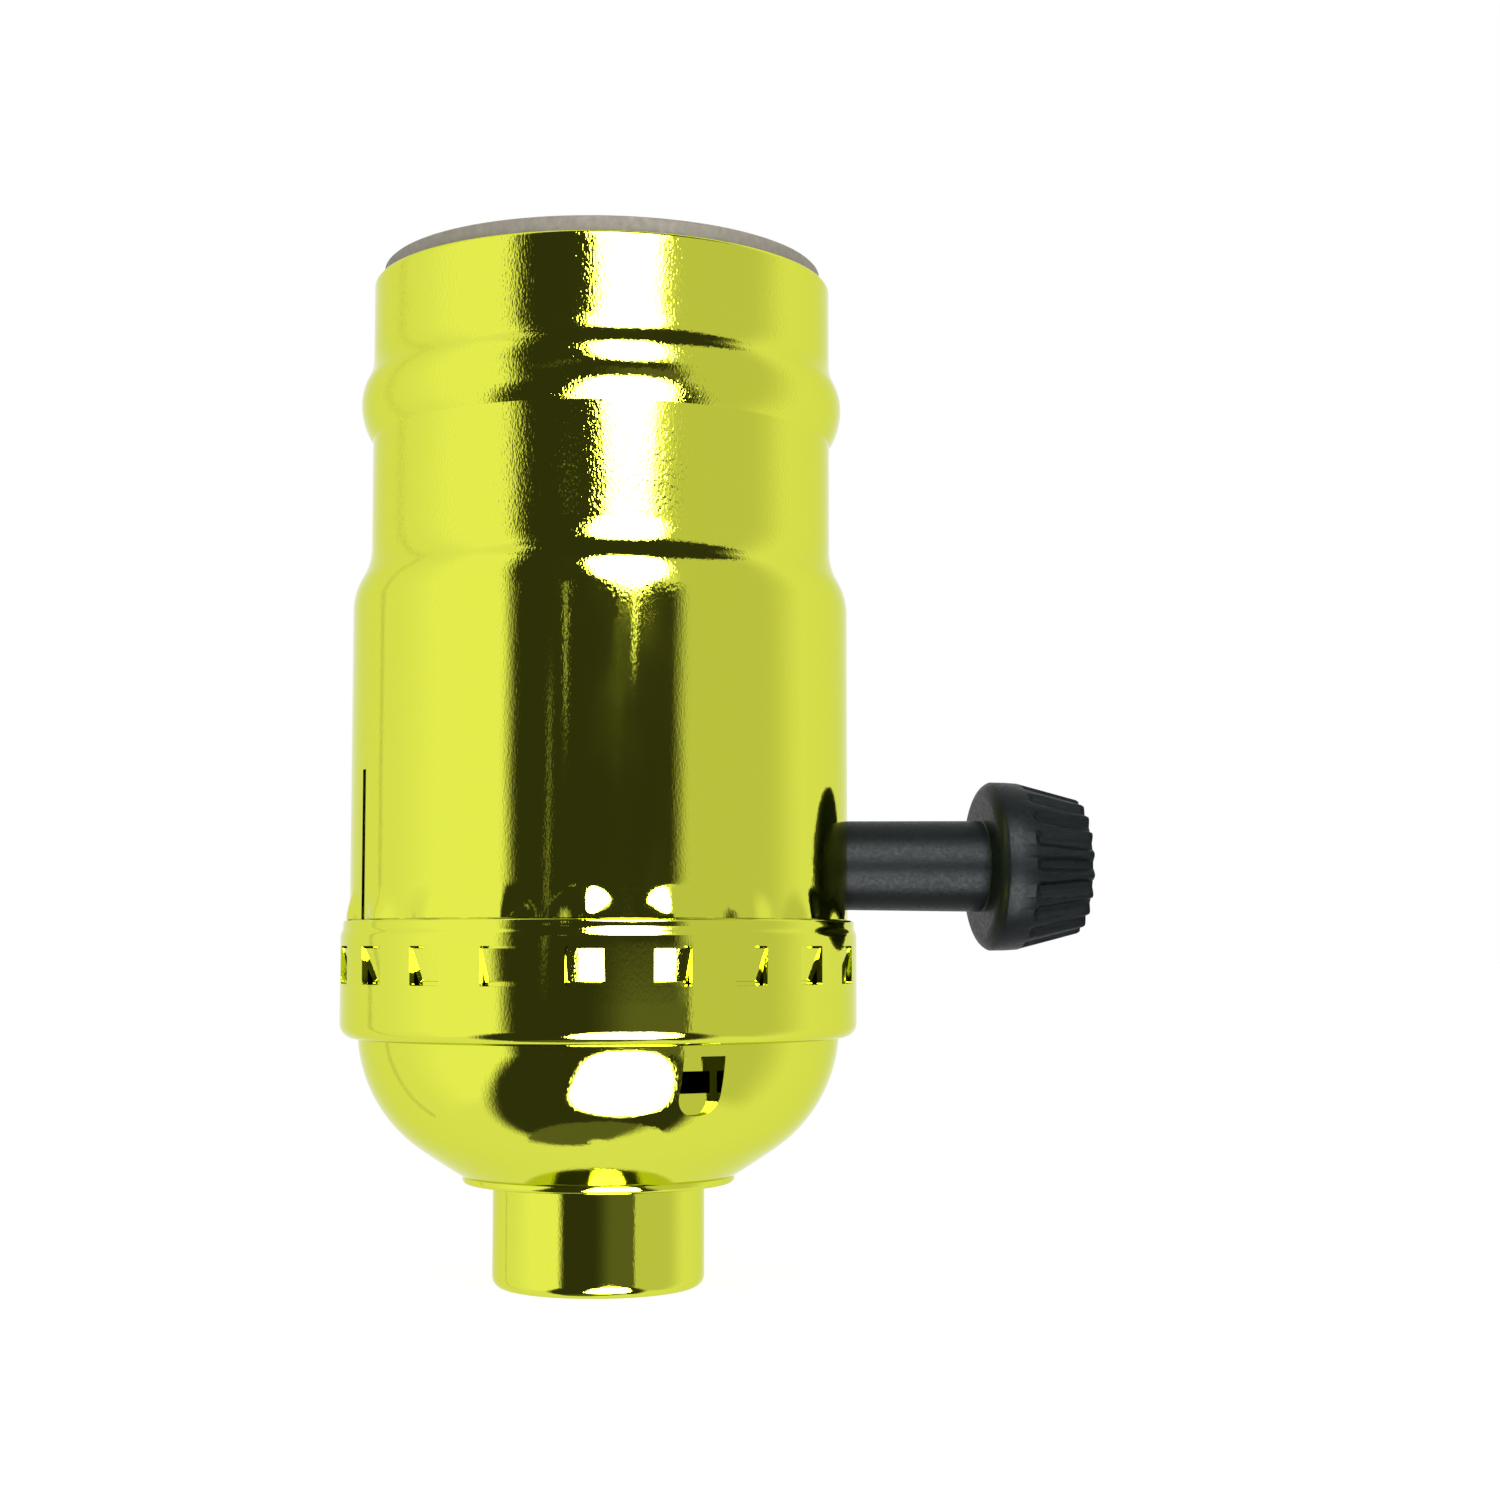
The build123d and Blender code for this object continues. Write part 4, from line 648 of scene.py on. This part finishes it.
# %% Cap: wall and lugs
bpy.ops.object.mode_set(mode="OBJECT")
give_wall(cap, CAP_WALL)
cups = []
for turn in LUG_ANGLES:
    cup = lug_block(
        LUG_WIDTH / 2 + CAP_WALL, LUG_LOW - CAP_WALL, LUG_HIGH + CAP_WALL, LUG_CORNER_R + CAP_WALL,
        LUG_FLOOR_R - CAP_WALL, DOME_R, turn,
    )
    for point in cup.data.vertices:  # the outer end is drawn back to the middle of the dome's wall
        x, y, z = point.co / MM
        if hypot(x, y) > DOME_R - 0.5:
            dome_r = upper_centre[0] + sqrt(DOME_UPPER_ARC_R**2 - (z - upper_centre[1]) ** 2)
            point.co.x *= (dome_r - CAP_WALL / 2) / hypot(x, y)
            point.co.y *= (dome_r - CAP_WALL / 2) / hypot(x, y)
    pocket = (LUG_WIDTH / 2, LUG_LOW, LUG_HIGH, LUG_CORNER_R, LUG_FLOOR_R, DOME_R + 1, turn)
    slot_depth = (LUG_FLOOR_R - 3 * CAP_WALL, LUG_FLOOR_R + CAP_WALL)
    slot = (SLOT_WIDTH / 2, SLOT_LOW, SLOT_HIGH, SLOT_CORNER_R, *slot_depth, turn)
    punch_out(cup, lug_block(*pocket))
    punch_out(cup, lug_block(*slot))
    punch_out(cap, lug_block(*pocket))
    cups.append(cup)
bpy.ops.object.select_all(action="DESELECT")
for piece in [cap] + cups:
    piece.select_set(True)
bpy.context.view_layer.objects.active = cap
bpy.ops.object.join()
print("lugs", len(cups), "faces", len(cap.data.polygons))
finish_piece(cap, brass, "polished_brass", "holder", "cap")

# %% [markdown]
# ## Neck
#
# The neck is turned from bar, threaded inside for a lamp pipe, and staked over the cap's floor.
# The thread is a helix, which spinning one outline can't give, so the bore's points are moved
# outwards by a formula: the groove's depth at each point follows its height and its angle.

# %% Neck
PIPE_PITCH, PIPE_DEPTH, PIPE_FADE, BORE_ROWS = 0.94, 0.5, 0.4, 80
STAKED_EDGE = 0.3
neck_outline = (
    [(PIPE_BORE_R + PIPE_MOUTH, 0), (NECK_R - NECK_EDGE_R, 0)]
    + arc((NECK_R - NECK_EDGE_R, NECK_EDGE_R), NECK_EDGE_R, -90, 0, 8)[1:]
    + [(NECK_R, 1.2), (NECK_R, 6.7), (NECK_R, NECK_TOP)]
    + [(SPIGOT_R, NECK_TOP), (SPIGOT_R, SPIGOT_TOP)]
    + [(STAKED_LIP_R, SPIGOT_TOP), (STAKED_LIP_R, STAKED_LIP_TOP - STAKED_EDGE)]
    + [(STAKED_LIP_R - STAKED_EDGE, STAKED_LIP_TOP)]
    + level(PIPE_BORE_R, STAKED_LIP_TOP, PIPE_MOUTH, BORE_ROWS)
    + [(PIPE_BORE_R + PIPE_MOUTH, 0)]
)
neck = lathe("turned_neck", neck_outline, 120)
for point in neck.data.vertices:
    x, y, z = point.co / MM
    if hypot(x, y) < PIPE_BORE_R + 0.01 and z > PIPE_MOUTH:
        phase = (z / PIPE_PITCH - atan2(y, x) / (2 * pi)) % 1
        fade = min(
            1, (STAKED_LIP_TOP - z) / PIPE_FADE, (z - PIPE_MOUTH + PIPE_FADE / 2) / PIPE_FADE
        )
        stretch = 1 + PIPE_DEPTH * (1 - abs(2 * phase - 1)) * max(0, fade) / PIPE_BORE_R
        point.co.x *= stretch
        point.co.y *= stretch
finish_piece(neck, brass, "polished_brass", "holder", "cap_bushing")

# %% [markdown]
# ## Liner
#
# The liner is a sleeve of vulcanised fibre, a grey-brown sheet of pressed paper, which stands
# proud of the brass rim. Its edge is cut square and slightly worn. Inside and outside are drawn in
# one closed outline, because its wall is thick enough to show at the mouth.

# %% Liner
LINER_DROP, LINER_EDGE = 0.2, 0.1
liner_low, liner_high = SHOULDER_LOW - LINER_DROP, SHOULDER_HIGH - LINER_DROP
inner_r, inner_throat_r = LINER_R - LINER_WALL, LINER_THROAT_R - LINER_WALL
liner_outline = (
    level(LINER_R, LINER_LOW, liner_low, 3)
    + ogee((LINER_R, liner_low), (LINER_THROAT_R, liner_high), 8)[1:]
    + level(LINER_THROAT_R, 52, LINER_TOP - LINER_EDGE, 4)
    + [(LINER_THROAT_R - LINER_EDGE, LINER_TOP), (inner_throat_r + LINER_EDGE, LINER_TOP)]
    + level(inner_throat_r, LINER_TOP - LINER_EDGE, 52, 4)
    + ogee((inner_r, liner_low), (inner_throat_r, liner_high), 8)[::-1]
    + level(inner_r, 44, LINER_LOW, 3)
    + [(LINER_R, LINER_LOW)]
)
liner = lathe("fibre_liner", liner_outline, 180)
punch_out(liner, notch_punch(LINER_NOTCH_R, LINER_LOW - 1))
finish_piece(liner, fibre, "fibre", "holder", "insulating_liner")

# %% [markdown]
# ## Screw shell
#
# The screw shell is a thin aluminium cup with the lamp's thread rolled into it. Rolling pushes the
# whole wall in and out along a helix, so the skin's points are moved by a formula, and the wall is
# given afterwards, which keeps it even. The thread fades out at the cup and at the rim.

# %% Screw shell
LAMP_PITCH, LAMP_ROLL, ROLL_START, ROLL_END = 25.4 / 7, 0.36, 1.6, 1.2
SCREW_HOLE_R, SCREW_CORNER_R = 7.0, 0.9
screw_outline = (
    [(SCREW_HOLE_R, SCREW_LOW), (11.0, SCREW_LOW), (SCREW_CUP_R - SCREW_CORNER_R, SCREW_LOW)]
    + arc((SCREW_CUP_R - SCREW_CORNER_R, SCREW_LOW + SCREW_CORNER_R), SCREW_CORNER_R, -90, 0, 6)[1:]
    + level(SCREW_CUP_R, 42.5, SCREW_CUP_TOP, 4)
    + level(SCREW_R, SCREW_FLARE_TOP, SCREW_TOP, 72)
)
screw_shell = lathe("rolled_screw_shell", screw_outline, 144)
facing_out(screw_shell)
for point in screw_shell.data.vertices:
    x, y, z = point.co / MM
    if z > SCREW_FLARE_TOP - 0.01:
        fade = max(0, min(1, (z - SCREW_FLARE_TOP) / ROLL_START, (SCREW_TOP - z) / ROLL_END))
        wave = LAMP_ROLL * cos(2 * pi * z / LAMP_PITCH - atan2(y, x)) * fade
        stretch = 1 + wave / SCREW_R
        point.co.x *= stretch
        point.co.y *= stretch
give_wall(screw_shell, SCREW_WALL)
finish_piece(screw_shell, aluminium, "aluminium", "holder", "screw_shell", smooth=50)

# %% [markdown]
# ## Knob
#
# The knob is one moulding: a long slightly tapered stem, a rounded flange, a narrow band and a
# tapered grip with 20 flutes. It is spun about the shaft, one step for each degree, and the flutes
# are pressed in by a formula, because each has sloping sides that run out at the band.

# %% Knob
STEM_END, KNOB_BACK, FLANGE_X, GRIP_X, KNOB_END = 13.9, 26.9, 28.5, 29.4, 33.9
STEM_INNER_R, STEM_R, BACK_R, FLANGE_R, GRIP_R, END_R = 3.07, 3.2, 4.9, 5.93, 5.87, 4.72
STEM_LENGTH, STEM_ROWS, FLANGE_ROWS, GRIP_ROWS = 12.9, 6, 10, 22
flange_step, flange_rise = FLANGE_X - KNOB_BACK, FLANGE_R - BACK_R
flange_arc_r = (flange_step**2 + flange_rise**2) / (2 * flange_step)
flange_sweep = degrees(asin(flange_rise / flange_arc_r))
knob_outline = (
    [(0, STEM_END), (STEM_INNER_R - 0.1, STEM_END), (STEM_INNER_R, STEM_END + 0.1)]
    + [
        (STEM_INNER_R + (STEM_R - STEM_INNER_R) * k / STEM_ROWS, STEM_END + STEM_LENGTH * k / STEM_ROWS)
        for k in range(1, STEM_ROWS + 1)
    ]
    + [(STEM_R + 0.1, KNOB_BACK), (BACK_R, KNOB_BACK)]
)
for k in range(1, FLANGE_ROWS + 1):
    turn = radians(flange_sweep * k / FLANGE_ROWS)
    knob_outline.append(
        (BACK_R + flange_arc_r * sin(turn), KNOB_BACK + flange_arc_r * (1 - cos(turn)))
    )
knob_outline += [(FLANGE_R - 0.01, FLANGE_X + 0.08), (GRIP_R, GRIP_X)]
for k in range(1, GRIP_ROWS):
    knob_outline.append(
        (GRIP_R + (END_R - GRIP_R) * k / GRIP_ROWS, GRIP_X + (KNOB_END - GRIP_X) * k / GRIP_ROWS)
    )
knob_outline += [(END_R, KNOB_END - 0.12), (END_R - 0.05, KNOB_END - 0.03)]
knob_outline += [(END_R - 0.15, KNOB_END), (3.6, KNOB_END), (0, KNOB_END)]
knob = lathe("fluted_knob", knob_outline, 360, along_x=True)
facing_out(knob, along_x=True)
print("knob outline points", len(knob_outline))

# %% Knob: flutes
FLUTE_PITCH, FLUTE_DEPTH, FLUTE_INNER_R = 18, 0.45, 4.2
FLUTE_HALF_WIDTH, FLUTE_SLOPE, FLUTE_RUN, BAND = 0.62, 0.38, 0.35, 0.05
for point in knob.data.vertices:
    x, y, z = point.co.x / MM, point.co.y / MM, point.co.z / MM - SHAFT_Z
    radius = hypot(y, z)
    if x > GRIP_X + BAND and radius > FLUTE_INNER_R:
        turn = abs((degrees(atan2(z, y)) + FLUTE_PITCH / 2) % FLUTE_PITCH - FLUTE_PITCH / 2)
        side = turn * radius * pi / 180
        slope = min(1, max(0, (FLUTE_HALF_WIDTH - side) / FLUTE_SLOPE))
        run = min(1, (x - GRIP_X - BAND) / FLUTE_RUN)
        depth = FLUTE_DEPTH * slope * run
        point.co.y *= 1 - depth / radius
        point.co.z = (SHAFT_Z + z * (1 - depth / radius)) * MM
finish_piece(knob, knob_black, "knob_plastic", "switch_rotor", "knob", smooth=30)

# %% [markdown]
# ## The studio
#
# A polished piece is lit by what it mirrors. The room is white, two soft boxes stand for the lamps
# above and below the camera, dark flags stand for the camera, its stand and the ceiling, and thin
# bright cards make the streaks. The soft boxes are bright, because brass takes most of the blue
# out of what it mirrors, and only a strong lamp still looks white in it. Boxes, cards and flags
# show only in reflections, so they neither light the floor nor cast shadows. The floor doesn't
# show in reflections, so that the metal mirrors what hangs below it. Two plain lamps light the
# matt pieces.

# %% World
world = bpy.data.worlds.new("white room")
bpy.context.scene.world = world
world.use_nodes = True
world.node_tree.nodes.clear()
rays = add_node(world.node_tree, "ShaderNodeLightPath")
seen = add_node(
    world.node_tree, "ShaderNodeMath",
    {0: rays.outputs["Is Camera Ray"], 1: rays.outputs["Is Glossy Ray"]}, operation="MAXIMUM",
)
seen_all = add_node(
    world.node_tree, "ShaderNodeMath", {0: seen.outputs[0], 1: rays.outputs["Is Transmission Ray"]},
    operation="MAXIMUM",
)
strength = add_node(
    world.node_tree, "ShaderNodeMapRange",
    {"Value": seen_all.outputs[0], "To Min": 0.6, "To Max": 1.0},
)
room = add_node(
    world.node_tree, "ShaderNodeBackground",
    {"Color": (1, 1, 1, 1), "Strength": strength.outputs[0]},
)
add_node(world.node_tree, "ShaderNodeOutputWorld", {"Surface": room.outputs[0]})
print("world", world.name)

# %% Plain lamps
STUDIO_CENTRE = Vector((0, 0, 0.035))
STUDIO_R, LAYER_GAP, BOX_DISTANCE, BOX_ROUNDING = 0.85, 0.01, 0.7, 0.67


def towards(azimuth, elevation, distance=STUDIO_R):
    """A place round the holder: azimuth from the camera's side (-Y) towards +X, in degrees."""
    a, e = radians(azimuth), radians(elevation)
    return Vector((cos(e) * sin(a), -cos(e) * cos(a), sin(e))) * distance + STUDIO_CENTRE


def aim(place):
    """The turn that makes an object's -Z look from a place to the holder."""
    return (STUDIO_CENTRE - place).to_track_quat("-Z", "Y").to_euler()


def soft_lamp(name, azimuth, elevation, size, power):
    """A square lamp that faces the holder and isn't mirrored in it."""
    place = towards(azimuth, elevation)
    bpy.ops.object.light_add(type="AREA", location=place, rotation=aim(place))
    lamp = bpy.context.object
    lamp.name = name
    lamp.data.size = size
    lamp.data.energy = power
    lamp.visible_glossy = False


soft_lamp("key lamp", -25, 50, 0.5, 4)
soft_lamp("fill lamp", 60, 25, 0.6, 2)

# %% [markdown]
# ## The floor
#
# White paper lies under the holder. The camera sees most of it as glowing, which makes it as white
# as the room behind, and the rest is plain matt paper, so that the holder's shadow stays on it.

# %% Floor
FLOOR_GLOW, GLOW_SHARE = 1.12, 0.8
floor_paint, floor_tree, floor_surface, _ = new_material(
    "white paper",
    **{"Base Color": (0.92, 0.92, 0.92, 1), "Roughness": 0.9, "Specular IOR Level": 0.1},
)
floor_rays = add_node(floor_tree, "ShaderNodeLightPath")
floor_light = add_node(
    floor_tree, "ShaderNodeEmission", {"Color": (1, 1, 1, 1), "Strength": FLOOR_GLOW}
)
floor_share = add_node(
    floor_tree, "ShaderNodeMath",
    {0: floor_rays.outputs["Is Camera Ray"], 1: GLOW_SHARE}, operation="MULTIPLY",
)
floor_mix = add_node(
    floor_tree, "ShaderNodeMixShader",
    {0: floor_share.outputs[0], 1: floor_surface.outputs[0], 2: floor_light.outputs[0]},
)
floor_tree.links.new(floor_mix.outputs[0], floor_tree.nodes["Material Output"].inputs["Surface"])
bpy.ops.object.select_all(action="DESELECT")
bpy.ops.mesh.primitive_plane_add(size=8, location=(0, 0, -0.00005))
floor = bpy.context.object
floor.name = "floor"
floor.data.materials.append(floor_paint)
floor.visible_glossy = False
print("floor", floor_paint.name)

# %% Paint for boxes, cards and flags
def card_paint(name, brightness, fades):
    """Glowing white paint that turns clear towards the card's left, right, low and high edges."""
    paint = bpy.data.materials.new(name)
    paint.use_nodes = True
    tree = paint.node_tree
    tree.nodes.clear()
    spot = add_node(tree, "ShaderNodeTexCoord").outputs["UV"]
    across = add_node(tree, "ShaderNodeSeparateXYZ", {0: spot})
    cover = add_node(tree, "ShaderNodeValue").outputs[0]
    cover.default_value = 1
    for axis, edge, fade in zip("XXYY", (0, 1, 0, 1), fades):
        if fade:
            inner = fade if edge == 0 else 1 - fade
            ramp = add_node(
                tree, "ShaderNodeMapRange",
                {"Value": across.outputs[axis], "From Min": edge, "From Max": inner},
                interpolation_type="SMOOTHSTEP",
            )
            cover = add_node(
                tree, "ShaderNodeMath", {0: cover, 1: ramp.outputs[0]}, operation="MULTIPLY"
            ).outputs[0]
    glow = add_node(tree, "ShaderNodeEmission", {"Color": (1, 1, 1, 1), "Strength": brightness})
    clear = add_node(tree, "ShaderNodeBsdfTransparent")
    mixed = add_node(
        tree, "ShaderNodeMixShader", {0: cover, 1: clear.outputs[0], 2: glow.outputs[0]}
    )
    add_node(tree, "ShaderNodeOutputMaterial", {"Surface": mixed.outputs[0]})
    return paint


# %% Boxes, cards and flags
hung = []


def hang(made, paint):
    """Paints a card and lets only mirrors see it."""
    made.data.materials.append(paint)
    made.visible_camera = made.visible_diffuse = made.visible_shadow = False
    made.visible_transmission = False
    hung.append(made.name)


def soft_box(name, azimuth, elevation, half_width, half_height, brightness):
    """A lamp with well rounded corners that faces the holder, sized in degrees seen from there."""
    place = towards(azimuth, elevation, BOX_DISTANCE)
    bpy.ops.object.select_all(action="DESELECT")
    bpy.ops.mesh.primitive_circle_add(
        vertices=96, radius=BOX_DISTANCE, fill_type="NGON", location=place, rotation=aim(place)
    )
    made = bpy.context.object
    made.name = name
    for point in made.data.vertices:
        for axis, half in ((0, half_width), (1, half_height)):
            share = point.co[axis] / BOX_DISTANCE
            rounded = copysign(abs(share) ** BOX_ROUNDING, share)
            point.co[axis] = BOX_DISTANCE * tan(radians(half)) * rounded
    hang(made, card_paint(name, brightness, (0, 0, 0, 0)))


def card(name, corners, brightness, fades, layer):
    """A bent card round the holder, between four corners (azimuth, elevation), seen in mirrors only.

    Its fades are shares of its width and height, and a higher layer hangs nearer to the holder."""
    bpy.ops.object.select_all(action="DESELECT")
    bpy.ops.mesh.primitive_grid_add(x_subdivisions=12, y_subdivisions=12, size=2)
    made = bpy.context.object
    made.name = name
    low_left, low_right, high_right, high_left = corners
    for point in made.data.vertices:
        u, v = (point.co.x + 1) / 2, (point.co.y + 1) / 2
        low = [low_left[k] * (1 - u) + low_right[k] * u for k in (0, 1)]
        high = [high_left[k] * (1 - u) + high_right[k] * u for k in (0, 1)]
        angles = [low[k] * (1 - v) + high[k] * v for k in (0, 1)]
        point.co = towards(*angles, STUDIO_R - LAYER_GAP * layer)
    hang(made, card_paint(name, brightness, fades))


# %% [markdown]
# ## Where the boxes, cards and flags hang
#
# Azimuth and elevation are in degrees from the holder's middle. On an upright wall a card shows at
# half its azimuth, and the soft boxes show again in the bead, the shoulder and the dome, because
# each of these tilts the mirror. The places were found from where each reflection lies in the
# picture.

# %% Hang them
LAMP, FLAG = 18, 0.04
soft_box("upper lamp", 7, 31.5, 16.5, 22, LAMP)
soft_box("lower lamp", 7, -40, 21, 25, LAMP)
for name, corners, brightness, fades, layer in (
    ("grey side card", ((28, -50), (100, -50), (100, 60), (28, 60)), 0.72, (0, 0.4, 0.1, 0.1), 0),
    ("window card", ((-115, -50), (-45, -50), (-45, 60), (-115, 60)), 1.14, (0.5, 0.1, 0.1, 0.1), 0),
    ("left line flag", ((-126, -40), (-122, -40), (-122, 60), (-126, 60)), 0.75, (0.4, 0.4, 0, 0), 0),
    ("camera flag", ((-51.5, -17), (34, -17), (34, 10), (-51.5, 10)), FLAG, (0.1, 0.1, 0, 0), 1),
    ("stand flag", ((-108, -70), (85, -70), (37, -17), (-51.5, -17)), FLAG, (0.1, 0.1, 0, 0), 1),
    ("tall flag", ((-51.5, 10), (0, 10), (0, 55), (-60, 60)), FLAG, (0.15, 0, 0, 0), 1),
    ("ceiling flag", ((-60, 52), (92, 45), (92, 86), (-60, 86)), FLAG, (0, 0.12, 0.04, 0), 2),
    ("floor flag", ((-150, -87), (60, -87), (60, -70), (-120, -70)), 0.14, (0.1, 0.15, 0, 0), 1),
    ("room glow", ((-12, -17), (34, -17), (34, 1), (-12, 1)), 0.14, (0.5, 0.05, 0, 0.25), 2),
    ("left streak", ((-31, -2), (-28.5, -2), (-27, 7), (-29.5, 7)), 0.22, (0.5, 0.5, 0.2, 0.2), 3),
    ("short streak", ((-22.5, 4), (-21, 4), (-20, 10.5), (-22.5, 10.5)), 0.6, (0.5, 0.5, 0.5, 0), 3),
    ("centre streak", ((8, 6), (8.8, 6), (11.5, 10.2), (6.5, 10.2)), 2, (0.4, 0.4, 0.5, 0), 3),
):
    card(name, corners, brightness, fades, layer)
print("boxes, cards and flags", len(hung))
